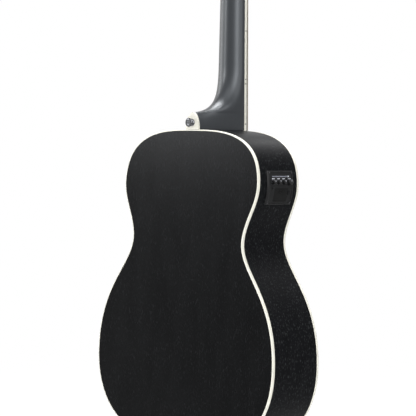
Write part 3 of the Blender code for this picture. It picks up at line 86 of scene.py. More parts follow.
NECK_DEPTH_NUT, NECK_DEPTH_JOINT, ROUNDNESS = 0.0150, 0.0172, 1.75
HEEL_START, HEEL_TIP, HEEL_HALF, HEEL_CAP_T = 0.1045, 0.0265, 0.0135, 0.0036
HEEL_THROAT, HEEL_RUN = 0.0600, (0.0300, 0.0300)
HEEL_NARROWING, HEEL_NARROWING_POWER, HEEL_HOLLOW_POWER = 1.05, 1.9, 1.16
HEEL_SMOOTHINGS, HEEL_SMOOTH_REACH = 14, 0.013
HEAD_ANGLE = math.radians(13)
HEAD_T, HEAD_LENGTH, HEAD_HALF = 0.0150, 0.1720, 0.0400
NUT_T = 0.0050
SPREAD_NUT, SPREAD_SADDLE = 0.0350, 0.0570
DIAMETERS = {"e": 0.00254, "a": 0.00203, "d": 0.00165, "g": 0.00114}
BRIDGE_H, SADDLE_T = 0.0088, 0.0032
SADDLE_SLANT, PIN_SETBACK = math.radians(2), 0.0150
PIN_R, PIN_HEAD_R, PIN_HEAD_H, PIN_LENGTH, PIN_DOT_R = 0.0028, 0.0042, 0.0040, 0.0230, 0.0013
POST_R, POST_H, POST_WAIST = 0.0050, 0.0190, 0.0043
LOWER_POSTS, UPPER_POSTS = (0.0250, 0.0560), (0.0230, 0.1180)
WHEEL_R, WHEEL_T, WORM_R, WHEEL_TEETH = 0.0090, 0.0062, 0.0030, 20
PREAMP_DROP, PREAMP_H, PREAMP_W, PREAMP_FRONT, PANEL_T = 0.0607, 0.0510, 0.0560, 0.0165, 0.0016
FLANGE = 0.0035
DOOR_W, DOOR_H, DOOR_DROP, DOOR_INSET = 0.0290, 0.0200, 0.0265, 0.0110
KNOB_DROP, KNOB_SWEEP = 0.0172, 135
KNOB_PLACES = {"volume_knob": 0.0075, "treble_knob": 0.0205, "middle_knob": 0.0318, "bass_knob": 0.0431}
LARGE_KNOB_R, SMALL_KNOB_R, KNOB_H = 0.0046, 0.0034, 0.0050
BUTTON_R, BUTTON_RISE, BUTTON_PLACE = 0.0015, 0.0012, (0.0440, 0.0262)
STRAP_R, STRAP_H, STRAP_RISE = 0.0070, 0.0086, 0.0110
JACK_R, JACK_BORE_R, JACK_LENGTH, JACK_H = 0.0060, 0.0034, 0.0420, 0.0125
NAMES = tuple(DIAMETERS)

DOT_FRETS, TWO_DOTS = (3, 5, 7, 9, 12, 15, 17, 19), 12
FACE_DOT_R, FACE_DOTS_APART, EDGE_DOT_R, EDGE_DOTS_APART = 0.0031, 0.0095, 0.0011, 0.0035
JOINT_Z = -SCALE_LENGTH * (1 - 2 ** (-15 / 12))
SADDLE_Z = -SCALE_LENGTH
HOLE_Z = JOINT_Z - HOLE_DROP
BOARD_END_Z = JOINT_Z - OVERHANG
TAIL_Z = JOINT_Z - BODY_LENGTH
HEAD_FRAME = Matrix.Translation((0, 0, NUT_T)) @ Matrix.Rotation(-HEAD_ANGLE, 4, "X")
FACE_DOWN = Matrix.Rotation(math.radians(90), 4, "X")


# ---------------------------------------------------------------- building helpers
def sweep(start, end, steps):
    """Evenly spaced values from start to end."""
    return [start + (end - start) * i / steps for i in range(steps + 1)]


def put(name, data):
    """A new object, in the scene."""
    obj = bpy.data.objects.new(name, data)
    bpy.context.scene.collection.objects.link(obj)
    return obj


def dress(obj, material, slot, *nodes, body="instrument"):
    """Gives a piece its finish, its body and the nodes that it stands for; its slot is not used."""
    obj.data.materials.clear()
    obj.data.materials.append(material)
    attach(obj, body)
    if nodes:
        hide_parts(*nodes)


def soften(obj, width, segments=3, angle=40):
    """Rounded edges, with the flat faces left flat."""
    bevel = obj.modifiers.new("rounded_edges", "BEVEL")
    bevel.width = width
    bevel.segments = segments
    bevel.limit_method = "ANGLE"
    bevel.angle_limit = math.radians(angle)
    bevel.harden_normals = True


def settle(work, mesh, sharp):
    """Writes a bmesh into a mesh, shaded smooth up to an angle."""
    bmesh.ops.recalc_face_normals(work, faces=work.faces)
    work.to_mesh(mesh)
    work.free()
    mesh.shade_smooth()
    mesh.set_sharp_from_angle(angle=math.radians(sharp))


def piece(name, fill, *finish, body="instrument", sharp=35, bevel=0.0, segments=3):
    """A piece from a function that fills a bmesh; its finish is (material, slot, nodes it stands for)."""
    mesh = bpy.data.meshes.new(name)
    work = bmesh.new()
    fill(work)
    settle(work, mesh, sharp)
    obj = put(name, mesh)
    if bevel:
        soften(obj, bevel, segments)
    dress(obj, *finish, body=body)


def add_face(work, *corners):
    """A face, with repeated corners left out."""
    corners = list(dict.fromkeys(corners))
    if len(corners) > 2:
        work.faces.new(corners)


def add_rings(work, rings, closed=False):
    """A skin over rings of points, capped unless it closes on itself."""
    levels = [[work.verts.new(point) for point in ring] for ring in rings]
    pairs = list(zip(levels, levels[1:]))
    if closed:
        pairs.append((levels[-1], levels[0]))
    for low, high in pairs:
        for i in range(len(low)):
            j = (i + 1) % len(low)
            work.faces.new((low[i], low[j], high[j], high[i]))
    if not closed:
        work.faces.new(levels[0])
        work.faces.new(levels[-1])


def loft(name, rings, *finish, closed=False, **how):
    piece(name, lambda work: add_rings(work, rings, closed), *finish, **how)


def ring_about(matrix, radius_at, height, steps, stretch=1.0, twist=0.0):
    """Points about the matrix's Z, at the radius that radius_at gives for each turn."""
    turns = [2 * math.pi * i / steps for i in range(steps)]
    spots = [(radius_at(t), math.cos(t + twist), math.sin(t + twist)) for t in turns]
    return [matrix @ Vector((r * c, stretch * r * s, height)) for r, c, s in spots]


def add_turned(work, matrix, profile, steps=48):
    """Turns (radius, height) points about the matrix's Z; the ends on the axis close it."""
    rows = []
    for radius, height in profile:
        if radius < 1e-7:
            rows.append([work.verts.new(matrix @ Vector((0, 0, height)))] * steps)
        else:
            ring = ring_about(matrix, lambda _, r=radius: r, height, steps)
            rows.append([work.verts.new(point) for point in ring])
    for low, high in zip(rows, rows[1:]):
        for i in range(steps):
            j = (i + 1) % steps
            add_face(work, low[i], low[j], high[j], high[i])


def turned(name, matrix, profile, *finish, steps=48, **how):
    piece(name, lambda work: add_turned(work, matrix, profile, steps), *finish, **how)


def bend(a, b, c, radius, most=0.45, steps=4):
    """Points that round the corner b, taking at most a share of the straight pieces beside it."""
    reach = min(radius, (a - b).length * most, (c - b).length * most)
    start, end = b + (a - b).normalized() * reach, b + (c - b).normalized() * reach
    return [start * (1 - t) ** 2 + b * 2 * t * (1 - t) + end * t**2 for t in sweep(0, 1, steps)]


def rounded(profile, radius):
    """A (radius, height) profile with its inner corners rounded."""
    points = [Vector(p) for p in profile]
    inner = [tuple(q) for trio in zip(points, points[1:], points[2:]) for q in bend(*trio, radius)]
    return [profile[0], *inner, profile[-1]]


def rounded_loop(outline, radius, steps):
    """A closed outline with its corners rounded."""
    points = [Vector(p) for p in outline]
    trios = zip(points[-1:] + points, points, points[1:] + points[:1])
    return [tuple(q) for trio in trios for q in bend(*trio, radius, steps=steps)]


def add_box(work, low, high, matrix):
    middle = Matrix.Translation([(high[k] + low[k]) / 2 for k in range(3)])
    size = Matrix.Diagonal([high[k] - low[k] for k in range(3)] + [1])
    bmesh.ops.create_cube(work, size=1.0, matrix=matrix @ (middle @ size))


def plate(name, outlines, thickness, matrix, *finish, **how):
    """A flat plate from closed outlines in the matrix's XY plane; inner outlines are holes."""
    curve = bpy.data.curves.new(name, "CURVE")
    curve.dimensions = "2D"
    curve.fill_mode = "BOTH"
    curve.extrude = thickness / 2
    for outline in outlines:
        spline = curve.splines.new("POLY")
        spline.points.add(len(outline) - 1)
        spline.use_cyclic_u = True
        for point, (x, y) in zip(spline.points, outline):
            point.co = (x, y, 0, 1)
    holder = put(name + "_curve", curve)
    bpy.context.view_layer.update()
    mesh = bpy.data.meshes.new_from_object(holder.evaluated_get(bpy.context.evaluated_depsgraph_get()))
    bpy.data.objects.remove(holder, do_unlink=True)

    def fill(work):
        work.from_mesh(mesh)
        bmesh.ops.remove_doubles(work, verts=work.verts, dist=0.000001)
        work.transform(matrix)

    piece(name, fill, *finish, **how)


def add_tube(work, points, radius, sides):
    """A round tube through points, with capped ends and no twist."""
    side, rings = None, []
    for i, point in enumerate(points):
        before, after = points[max(i - 1, 0)], points[min(i + 1, len(points) - 1)]
        along_it = (after - before).normalized()
        if side is None:
            side = along_it.orthogonal().normalized()
        side = (side - along_it * side.dot(along_it)).normalized()
        other = along_it.cross(side)
        turns = [2 * math.pi * k / sides for k in range(sides)]
        rings.append([point + radius * (side * math.cos(t) + other * math.sin(t)) for t in turns])
    add_rings(work, rings)


def along(origin, direction):
    """A frame at origin whose own Z runs in the given direction."""
    return Matrix.Translation(origin) @ Vector(direction).to_track_quat("Z", "Y").to_matrix().to_4x4()


def circle(radius, z=0.0, points=96):
    turns = [2 * math.pi * i / points for i in range(points)]
    return [(radius * math.cos(t), z + radius * math.sin(t)) for t in turns]


def plate_frame(y):
    return Matrix.Translation((0, y, 0)) @ FACE_DOWN


def fret_z(number):
    return -SCALE_LENGTH * (1 - 2 ** (-number / 12))


# ---------------------------------------------------------------- the body's outline
def bezier(handles, share):
    """A cubic curve's point and slope."""
    rest = 1 - share
    weights = (rest**3, 3 * rest**2 * share, 3 * rest * share**2, share**3)
    slopes = (-3 * rest**2, 3 * rest**2 - 6 * rest * share, 6 * rest * share - 3 * share**2, 3 * share**2)
    point, slope = Vector((0, 0)), Vector((0, 0))
    for weight, change, handle in zip(weights, slopes, handles):
        point += weight * Vector(handle)
        slope += change * Vector(handle)
    return point, slope


def outline_curves():
    """The half outline's four curves, from the neck joint to the tail, as (x, z) handles."""
    above, between, below = WAIST_DROP - UPPER_DROP, LOWER_DROP - WAIST_DROP, BODY_LENGTH - LOWER_DROP
    drops = (
        (0, 0),
        (UPPER * SHOULDER_FLAT, 0),
        (UPPER, UPPER_DROP * (1 - SHOULDER_RISE)),
        (UPPER, UPPER_DROP),
        (UPPER, UPPER_DROP + above * UPPER_ROUND),
        (WAIST, WAIST_DROP - above * WAIST_ROUND_ABOVE),
        (WAIST, WAIST_DROP),
        (WAIST, WAIST_DROP + between * WAIST_ROUND_BELOW),
        (LOWER, LOWER_DROP - between * LOWER_ROUND_ABOVE),
        (LOWER, LOWER_DROP),
        (LOWER, LOWER_DROP + below * LOWER_ROUND_BELOW),
        (LOWER * TAIL_FLAT, BODY_LENGTH),
        (0, BODY_LENGTH),
    )
    handles = [(x, JOINT_Z - drop) for x, drop in drops]
    return [handles[3 * k : 3 * k + 4] for k in range(4)]


CURVES = outline_curves()


def outline_at(place_on, inset=0.0):
    """A point of the right half outline and the way in from it; place_on runs from 0 at the neck to 4."""
    number = min(int(place_on), 3)
    point, slope = bezier(CURVES[number], place_on - number)
    inwards = Vector((slope.y, -slope.x)).normalized()
    return point + inset * inwards, inwards


def place_at_z(z, inset=0.0):
    high, low = 0.0, 4.0
    for _ in range(40):
        middle = (high + low) / 2
        if outline_at(middle, inset)[0].y > z:
            high = middle
        else:
            low = middle
    return (high + low) / 2


def places(steps=(30, 22, 30, 44)):
    return [k + i / n for k, n in enumerate(steps) for i in range(n)] + [4.0]


def whole_path(inset):
    """The whole outline as a loop of (x, z): down the right side and up the left."""
    right = [tuple(outline_at(p, inset)[0]) for p in places()]
    return right + [(-x, z) for x, z in right[-2:0:-1]]


def back_depth(x, z):
    share = (JOINT_Z - z) / BODY_LENGTH
    taper = NECK_END_DEPTH + (TAIL_END_DEPTH - NECK_END_DEPTH) * share
    return taper + share * (1 - share) * BODY_LENGTH**2 / (2 * DOME_RADIUS) - x**2 / (2 * DOME_RADIUS)


def hoop(name, section, back, *finish):
    """A band right round the body; section gives (inset, depth) from the front face or the back face."""

    def ring(p, side):
        points = [(outline_at(p, inset)[0], depth) for inset, depth in section]
        return [(side * q.x, back_depth(q.x, q.y) - depth if back else depth, q.y) for q, depth in points]

    rings = [ring(p, 1) for p in places()] + [ring(p, -1) for p in places()[-2:0:-1]]
    loft(name, rings, *finish, closed=True, sharp=30)


# ---------------------------------------------------------------- materials
def link(tree, a, out, b, into):
    tree.links.new(a.outputs[out], b.inputs[into])


def add_node(tree, kind, **inputs):
    node = tree.nodes.new("ShaderNode" + kind)
    for key, value in inputs.items():
        node.inputs[key.replace("_", " ")].default_value = value
    return node


def plain_material(name, roughness, metallic=0.0, specular=0.5, coat=0.0):
    """A material with uniform sockets set; returns its tree and its shader too."""
    material = bpy.data.materials.new(name)
    material.use_nodes = True
    shader = material.node_tree.nodes["Principled BSDF"]
    sockets = {"Roughness": roughness, "Metallic": metallic, "Specular IOR Level": specular}
    for key, value in {**sockets, "Coat Weight": coat, "Coat Roughness": 0.05}.items():
        shader.inputs[key].default_value = value
    return material, material.node_tree, shader


def pattern(tree, scale, stretch=(1, 1, 1), detail=4.0, kind="TexNoise", distortion=0.0):
    """A noise or wave texture in the piece's own coordinates."""
    where = add_node(tree, "TexCoord")
    mapping = add_node(tree, "Mapping", Scale=stretch)
    link(tree, where, "Object", mapping, "Vector")
    texture = add_node(tree, kind, Scale=scale, Detail=detail, Distortion=distortion)
    link(tree, mapping, "Vector", texture, "Vector")
    return texture


def ramp(tree, source, stops):
    node = add_node(tree, "ValToRGB")
    elements = node.color_ramp.elements
    elements[0].position, elements[0].color = stops[0][0], (*stops[0][1], 1)
    elements[1].position, elements[1].color = stops[-1][0], (*stops[-1][1], 1)
    for place_on, colour in stops[1:-1]:
        elements.new(place_on).color = (*colour, 1)
    link(tree, source, "Fac", node, "Fac")
    return node


def coloured(tree, shader, texture, stops):
    link(tree, ramp(tree, texture, stops), "Color", shader, "Base Color")


def rough_by(tree, shader, texture, low, high):
    spread = add_node(tree, "MapRange", To_Min=low, To_Max=high)
    link(tree, texture, "Fac", spread, "Value")
    link(tree, spread, "Result", shader, "Roughness")


def bump_by(tree, shader, texture, strength, distance):
    bump = add_node(tree, "Bump", Strength=strength, Distance=distance)
    link(tree, texture, "Fac", bump, "Height")
    link(tree, bump, "Normal", shader, "Normal")


def dark_wood(
    name, dark, light, pore, stretch, specular, roughness, vary, pores, bump, tint, grain=420, pore_from=0.60
):
    """Black-stained wood: soft long bands, fine streaks and short pale pores along the grain."""
    material, tree, shader = plain_material(name, roughness, specular=specular)
    shader.inputs["Specular Tint"].default_value = (*tint, 1)
    bands = pattern(tree, 26, stretch, detail=3)
    fleck = pattern(tree, grain, stretch, detail=2)
    streak = ramp(tree, fleck, [(pore_from, (0, 0, 0)), (pore_from + 0.14, (pores, pores, pores))])
    shade = tree.nodes.new("ShaderNodeRGB")
    shade.outputs[0].default_value = (*pore, 1)
    mix = tree.nodes.new("ShaderNodeMix")
    mix.data_type = "RGBA"
    link(tree, streak, "Color", mix, "Factor")
    link(tree, ramp(tree, bands, [(0.32, dark), (0.70, light)]), "Color", mix, 6)
    link(tree, shade, 0, mix, 7)
    link(tree, mix, 2, shader, "Base Color")
    rough_by(tree, shader, bands, roughness - vary, roughness + vary)
    bump_by(tree, shader, fleck, bump, 0.0003)
    return material


def open_wood(name, dark, light, stretch, roughness=0.62, rings=90):
    """Bare wood with growth rings and fine fibres."""
    material, tree, shader = plain_material(name, roughness, specular=0.3)
    between = tuple((a + b) / 2 for a, b in zip(dark, light))
    ring = pattern(tree, rings, stretch, detail=5, distortion=0.6)
    coloured(tree, shader, ring, [(0.30, dark), (0.52, between), (0.70, light)])
    fibre = pattern(tree, 900, stretch, detail=2)
    rough_by(tree, shader, fibre, roughness - 0.08, roughness + 0.10)
    bump_by(tree, shader, fibre, 0.25, 0.0002)
    return material


def moulded(
    name, dark, light, roughness, grain=1600, specular=0.5, bump=0.12, patch=60, coat=0.0, subsurface=0.0
):
    """Plastic or bone: a faint mottle, and a fine moulded or polished surface."""
    material, tree, shader = plain_material(name, roughness, specular=specular, coat=coat)
    coloured(tree, shader, pattern(tree, patch), [(0.30, dark), (0.72, light)])
    fine = pattern(tree, grain, detail=2)
    rough_by(tree, shader, fine, roughness - 0.07, roughness + 0.09)
    bump_by(tree, shader, fine, bump, 0.00006)
    shader.inputs["Subsurface Weight"].default_value = subsurface
    shader.inputs["Subsurface Scale"].default_value = 0.002
    return material


def metal(name, dark, light, roughness, stretch=(1, 1, 1), bump=0.05):
    """Metal: faint clouding, fine polishing lines."""
    material, tree, shader = plain_material(name, roughness, metallic=1.0)
    coloured(tree, shader, pattern(tree, 45, detail=3), [(0.30, dark), (0.75, light)])
    lines = pattern(tree, 220, stretch, detail=3)
    rough_by(tree, shader, lines, roughness * 0.6, roughness * 1.5)
    bump_by(tree, shader, lines, bump, 0.00004)
    return material


def wound_metal(name, dark, light, pitch):
    """A string's winding: fine turns along its length."""
    material, tree, shader = plain_material(name, 0.30, metallic=1.0)
    cloud = pattern(tree, 60, detail=3)
    coloured(tree, shader, cloud, [(0.30, dark), (0.75, light)])
    turns = pattern(tree, 0.5 / pitch, detail=0, kind="TexWave")
    turns.bands_direction = "Z"
    rough_by(tree, shader, cloud, 0.24, 0.40)
    bump_by(tree, shader, turns, 0.6, 0.0002)
    return material


BODY_BLACK = dark_wood(
    "body_black_stain", (0.0010, 0.0010, 0.0011), (0.0026, 0.0027, 0.0029), (0.022, 0.022, 0.025),
    (1.8, 1, 0.50), 0.078, 0.24, vary=0.02, pores=0.6, bump=0.06, tint=(0.92, 0.95, 1.0),
)
SIDE_BLACK = dark_wood(
    "side_black_stain", (0.0009, 0.0010, 0.0013), (0.0024, 0.0025, 0.0031), (0.0400, 0.0428, 0.0440),
    (1.6, 2.4, 0.75), 0.046, 0.36, vary=0.03, pores=0.9, bump=0.40, tint=(0.80, 0.88, 1.0), grain=300,
    pore_from=0.58,
)
NECK_BLACK = dark_wood(
    "neck_black_stain", (0.0040, 0.0052, 0.0070), (0.0060, 0.0074, 0.0096), (0.012, 0.013, 0.014),
    (12, 12, 0.7), 0.60, 0.35, vary=0.012, pores=0.3, bump=0.012, tint=(0.90, 0.95, 1.0),
)
IVORY = moulded(
    "ivory_binding", (0.73, 0.715, 0.63), (0.78, 0.765, 0.69), 0.40, 700,
    specular=0.25, bump=0.06, patch=35, coat=0.05,
)
BONE = moulded(
    "bone_polished", (0.80, 0.76, 0.64), (0.88, 0.85, 0.75), 0.30, 1500,
    bump=0.10, patch=120, subsurface=0.1,
)
PLASTIC = moulded(
    "black_plastic_satin", (0.004, 0.004, 0.0045), (0.008, 0.0085, 0.009), 0.42, 2600,
    specular=0.13, bump=0.20,
)
BEZEL = moulded(
    "grey_black_bezel", (0.0050, 0.0050, 0.0056), (0.0095, 0.0098, 0.0108), 0.36, 2600,
    specular=0.18, bump=0.15,
)
DOOR = moulded(
    "door_plastic_smooth", (0.0025, 0.0027, 0.0027), (0.0048, 0.0050, 0.0050), 0.36, 2600,
    specular=0.09, bump=0.10,
)
KNOB = moulded(
    "knob_plastic_soft", (0.004, 0.004, 0.0045), (0.009, 0.009, 0.010), 0.40, 3200,
    specular=0.22, bump=0.25,
)
INNER = moulded("inner_plastic_grey", (0.030, 0.031, 0.033), (0.050, 0.051, 0.053), 0.55, 2200, bump=0.2)
PALE = moulded("pale_print", (0.58, 0.60, 0.66), (0.70, 0.72, 0.78), 0.50, 2600)
LENS = moulded("lamp_lens_pale", (0.16, 0.17, 0.21), (0.24, 0.25, 0.30), 0.24, 900, bump=0.02)
WINDOW = moulded("lamp_window_gloss", (0.006, 0.006, 0.008), (0.012, 0.012, 0.016), 0.12)
PEARL = moulded(
    "pearl_inlay", (0.62, 0.63, 0.62), (0.86, 0.84, 0.80), 0.22, 900, bump=0.04, patch=420, coat=0.5
)
DOT_BLACK = moulded("black_dot_inlay", (0.008, 0.008, 0.008), (0.014, 0.014, 0.014), 0.35)
JACKET = moulded("battery_jacket", (0.020, 0.022, 0.026), (0.034, 0.036, 0.042), 0.32, 500, bump=0.05)
CHROME = metal("chrome_polished", (0.22, 0.225, 0.24), (0.34, 0.345, 0.36), 0.10, bump=0.03)
# Chrome with its colour darkened: a painted dark reflection, standing in for the dark surroundings mirrored
# in the strap pin.
CHROME_PAINTED_DARK_REFLECTION = metal("chrome_painted_dark_reflection", (0.075, 0.076, 0.082), (0.15, 0.152, 0.16), 0.13)
DARK_STEEL = metal("blackened_steel", (0.060, 0.061, 0.065), (0.11, 0.11, 0.115), 0.24, bump=0.08)
STEEL = metal("nickel_steel", (0.46, 0.46, 0.46), (0.60, 0.60, 0.59), 0.26, (1, 1, 9), 0.08)
BRASS = metal("machined_brass", (0.52, 0.37, 0.14), (0.68, 0.50, 0.22), 0.28, (1, 9, 1), 0.10)
BRONZE = wound_metal("bronze_winding", (0.21, 0.19, 0.155), (0.33, 0.305, 0.255), 0.00045)
MAHOGANY = open_wood("mahogany_bare", (0.17, 0.070, 0.032), (0.31, 0.150, 0.075), (10, 10, 0.8))
SPRUCE = open_wood("spruce_bare_across", (0.46, 0.31, 0.15), (0.66, 0.50, 0.29), (0.6, 14, 14), rings=60)
OILED = (0.018, 0.011, 0.009), (0.055, 0.034, 0.026)
FRETWOOD = open_wood("dark_fretwood_oiled", *OILED, (13, 13, 0.7), 0.48)
FRETWOOD_ACROSS = open_wood("dark_fretwood_across", *OILED, (0.7, 13, 13), 0.46)


# ---------------------------------------------------------------- body
BACK_COLUMNS = 28
RIM_INSET = BINDING_T + GAP / 2
SIDE_STEPS = (40, 26, 36, 50)
SEAM_HALF, SEAM_IN, SEAM_OUT = 0.0011, 0.0016, 0.0001


def add_back(work):
    """The arched back, its rim just inside the binding."""
    path = [outline_at(p, RIM_INSET)[0] for p in places()]
    turns = sweep(-math.pi / 2, math.pi / 2, BACK_COLUMNS)
    layers = []
    for below in (0, BACK_T):
        rows = []
        for x, z in path:
            if x < 1e-5:
                rows.append([work.verts.new((0, back_depth(0, z) - below, z))] * len(turns))
            else:
                spots = [x * math.sin(turn) for turn in turns]
                rows.append([work.verts.new((s, back_depth(s, z) - below, z)) for s in spots])
        for low, high in zip(rows, rows[1:]):
            for i in range(BACK_COLUMNS):
                add_face(work, low[i], low[i + 1], high[i + 1], high[i])
        layers.append(rows)
    outer, inner = layers
    for k in range(len(path) - 1):
        for i in (0, BACK_COLUMNS):
            add_face(work, outer[k][i], outer[k + 1][i], inner[k + 1][i], inner[k][i])


def side_wall(name, mirror, node, hole=None):
    """A bent side, a grid along the outline and across the depth; its opening is (near, far, low, top)."""
    wanted = places(SIDE_STEPS)
    if hole:
        near, far, low, top = hole
        wanted = sorted({*wanted, place_at_z(top), place_at_z(low)})

    def opened(k, i):
        if not hole or i != 1 or not 0 <= k < len(wanted) - 1:
            return False
        return low - 1e-5 < outline_at((wanted[k] + wanted[k + 1]) / 2)[0].y < top + 1e-5

    def fill(work):
        rows = []
        for p in wanted:
            ring = []
            for inset in (0.0, SIDE_T):
                point, _ = outline_at(p, inset)
                x = max(point.x, GAP / 2)
                first, last = BINDING_H + GAP / 2, back_depth(x, point.y) - BINDING_H - GAP / 2
                stops = [first, near, far, last] if hole else [first, (first + last) / 2, last]
                ring.append([work.verts.new((-x if mirror else x, y, point.y)) for y in stops])
            rows.append(ring)
        cells = len(rows[0][0]) - 1
        for k, (one, two) in enumerate(zip(rows, rows[1:])):
            walls = [0, cells]
            for i in range(cells):
                if opened(k, i):
                    walls += [i, i + 1]
                    continue
                for a, b in zip(one, two):
                    work.faces.new((a[i], b[i], b[i + 1], a[i + 1]))
                for near_k, (a, b) in ((k - 1, one), (k + 1, two)):
                    if opened(near_k, i):
                        work.faces.new((a[i], a[i + 1], b[i + 1], b[i]))
            for j in walls:
                work.faces.new((one[0][j], two[0][j], two[1][j], one[1][j]))
        for a, b in (rows[0], rows[-1]):
            for i in range(cells):
                work.faces.new((a[i], a[i + 1], b[i + 1], b[i]))

    piece(name, fill, SIDE_BLACK, "side_black", node)


def edge_bindings():
    turns = sweep(math.pi, math.pi * 1.5, 4)
    section = [(BINDING_ROUND * (1 + math.cos(t)), BINDING_ROUND * (1 + math.sin(t))) for t in turns]
    section += [(BINDING_T, 0), (BINDING_T, BINDING_H), (0, BINDING_H)]
    hoop("front_edge_binding", section, False, IVORY, "ivory_plastic", "top_binding")
    hoop("back_edge_binding", section, True, IVORY, "ivory_plastic", "back_binding")


def tail_strip():
    """The thin pale line inlaid over the seam at the tail."""
    front, back = BINDING_H + GAP, back_depth(0, TAIL_Z) - BINDING_H - GAP

    def fill(work):
        add_box(work, (-SEAM_HALF, front, TAIL_Z + SEAM_OUT), (SEAM_HALF, back, TAIL_Z + SEAM_IN), Matrix())

    piece("tail_seam_line", fill, IVORY, "ivory_plastic", bevel=0.0002)


def rosette_rings():
    """Pearl between fine black and ivory lines, let into the soundboard."""
    start, where = HOLE_R + ROSETTE_START, plate_frame(ROSETTE_T / 2 - ROSETTE_PROUD)
    lines = (
        ("rosette_line_inner", IVORY, 0.0, 0.0007),
        ("rosette_gap_inner", DOT_BLACK, 0.0007, 0.0012),
        ("rosette_pearl", PEARL, 0.0012, 0.0053, "rosette"),
        ("rosette_gap_outer", DOT_BLACK, 0.0053, 0.0058),
        ("rosette_line_outer", IVORY, 0.0058, 0.0065),
    )
    for name, material, a, b, *node in lines:
        rings = [circle(start + b, HOLE_Z), circle(start + a, HOLE_Z)]
        plate(name, rings, ROSETTE_T, where, material, "ivory_plastic", *node)


piece("back", add_back, BODY_BLACK, "body_black", "back_plate")
plate(
    "board", [whole_path(RIM_INSET), circle(HOLE_R, HOLE_Z)], BOARD_T, plate_frame(BOARD_T / 2),
    BODY_BLACK, "body_black", "soundboard", bevel=0.0005,
)
edge_bindings()
side_wall("treble_rim", False, "treble_side")
side_wall(
    "bass_rim", True, "bass_side",
    (PREAMP_FRONT + FLANGE, PREAMP_FRONT + PREAMP_W - FLANGE,
     JOINT_Z - PREAMP_DROP - PREAMP_H + FLANGE, JOINT_Z - PREAMP_DROP - FLANGE),
)
tail_strip()
rosette_rings()


# ---------------------------------------------------------------- neck, heel and headstock
HEEL_DEPTH = NECK_END_DEPTH - HEEL_CAP_T - GAP
HALF_RING, TIP_RINGS, HEEL_RINGS, SHAFT_RINGS = 21, 14, 24, 11
RECESS_DEPTH, SLIT = 0.0004, 0.16


def neck_half(z):
    return NUT_HALF + (JOINT_HALF - NUT_HALF) * z / JOINT_Z


def neck_depth(z):
    return NECK_DEPTH_NUT + (NECK_DEPTH_JOINT - NECK_DEPTH_NUT) * z / JOINT_Z


def superellipse(share):
    return max(0.0, 1 - share**ROUNDNESS) ** (1 / ROUNDNESS)


def neck_ring(z, depth, end_share=None):
    """A section of the neck or, with a share of the heel's end, of the tip that the heel cap cuts off."""
    drops = [math.sin(math.pi / 2 * i / HALF_RING) ** (2 / ROUNDNESS) for i in range(HALF_RING)]
    bottom, levels = depth, [depth * drop for drop in drops]
    if end_share is not None:
        depth = HEEL_DEPTH / superellipse(min(end_share, 0.9999))
        bottom, levels = HEEL_DEPTH, [HEEL_DEPTH * drop / drops[-1] for drop in drops]
    width, plain = neck_half(z), neck_depth(z)
    share = HEEL_NARROWING * (depth - plain) / (HEEL_DEPTH - plain)
    heel = max(0.0, min(1.0, share)) ** HEEL_NARROWING_POWER

    def half_at(y):
        fin = HEEL_HALF + (width - HEEL_HALF) * max(0.0, 1 - y / HEEL_DEPTH) ** HEEL_HOLLOW_POWER
        return (width + (fin - width) * heel) * superellipse(y / depth)

    half = [(half_at(y), y) for y in levels] + [(0.0, bottom)]
    return [(-x, y, z) for x, y in half] + [(x, y, z) for x, y in half[-2::-1]]


def add_shaft(work):
    """The neck's shaft and heel, with the turn into the heel cap smoothed."""
    start, rings = JOINT_Z + HEEL_START, []
    for turn in sweep(0, math.pi / 2, TIP_RINGS)[:-1]:
        share = math.sin(turn)
        rings.append(neck_ring(JOINT_Z + GAP + share * HEEL_TIP, 0, math.sqrt(1 - share**2)))
    last = neck_depth(start)
    handles = [(HEEL_DEPTH, HEEL_TIP), HEEL_RUN, (last, HEEL_THROAT), (last, HEEL_START)]
    for share in sweep(0, 1, HEEL_RINGS):
        point = bezier(handles, share)[0]
        rings.append(neck_ring(JOINT_Z + point.y + GAP, point.x))
    rings += [neck_ring(z, neck_depth(z)) for z in sweep(start, 0, SHAFT_RINGS)[1:]]
    rings.append(neck_ring(NUT_T - 0.0001, neck_depth(NUT_T)))
    add_rings(work, rings)
    turn_in = [
        v for v in work.verts
        if 0.002 < v.co.y < HEEL_DEPTH * 0.93 and abs(v.co.z - JOINT_Z - HEEL_TIP) < HEEL_SMOOTH_REACH
    ]
    axes = {"use_axis_x": True, "use_axis_y": True, "use_axis_z": True}
    for _ in range(HEEL_SMOOTHINGS):
        bmesh.ops.smooth_vert(work, verts=turn_in, factor=0.5, **axes)


def chain(points, handles, steps):
    """A curve through points, with two handles for each stretch."""
    found = []
    for (start, end), (first, second) in zip(zip(points, points[1:]), handles):
        found += [tuple(bezier((start, first, second, end), t)[0]) for t in sweep(0, 1, steps)[:-1]]
    return found + [points[-1]]


def head_outline():
    wide, length, low, tongue, necking, corner = HEAD_HALF, HEAD_LENGTH, 0.0368, 0.0150, 0.0300, 0.0220
    points = [(0, -tongue), (NUT_HALF, GAP), (low, necking), (wide, length - corner), (0, length)]
    handles = [
        ((NUT_HALF * 0.65, -tongue), (NUT_HALF, -tongue * 0.55)),
        ((NUT_HALF, necking * 0.40), (low, necking * 0.60)),
        ((low, necking * 1.65), (wide, length - corner * 2.7)),
        ((wide, length - corner * 0.27), (wide * 0.4, length)),
    ]
    right = chain(points, handles, 20)
    return right + [(-x, y) for x, y in right[-2:0:-1]]


def heel_cap_piece():
    foot = JOINT_Z + GAP
    arc = [(HEEL_HALF * math.cos(t), foot + HEEL_TIP * math.sin(t)) for t in sweep(0, math.pi, 48)]
    where = plate_frame(NECK_END_DEPTH - HEEL_CAP_T / 2)
    plate("heel_cap_ivory", [arc], HEEL_CAP_T, where, IVORY, "ivory_plastic", "heel_cap", bevel=0.0007)


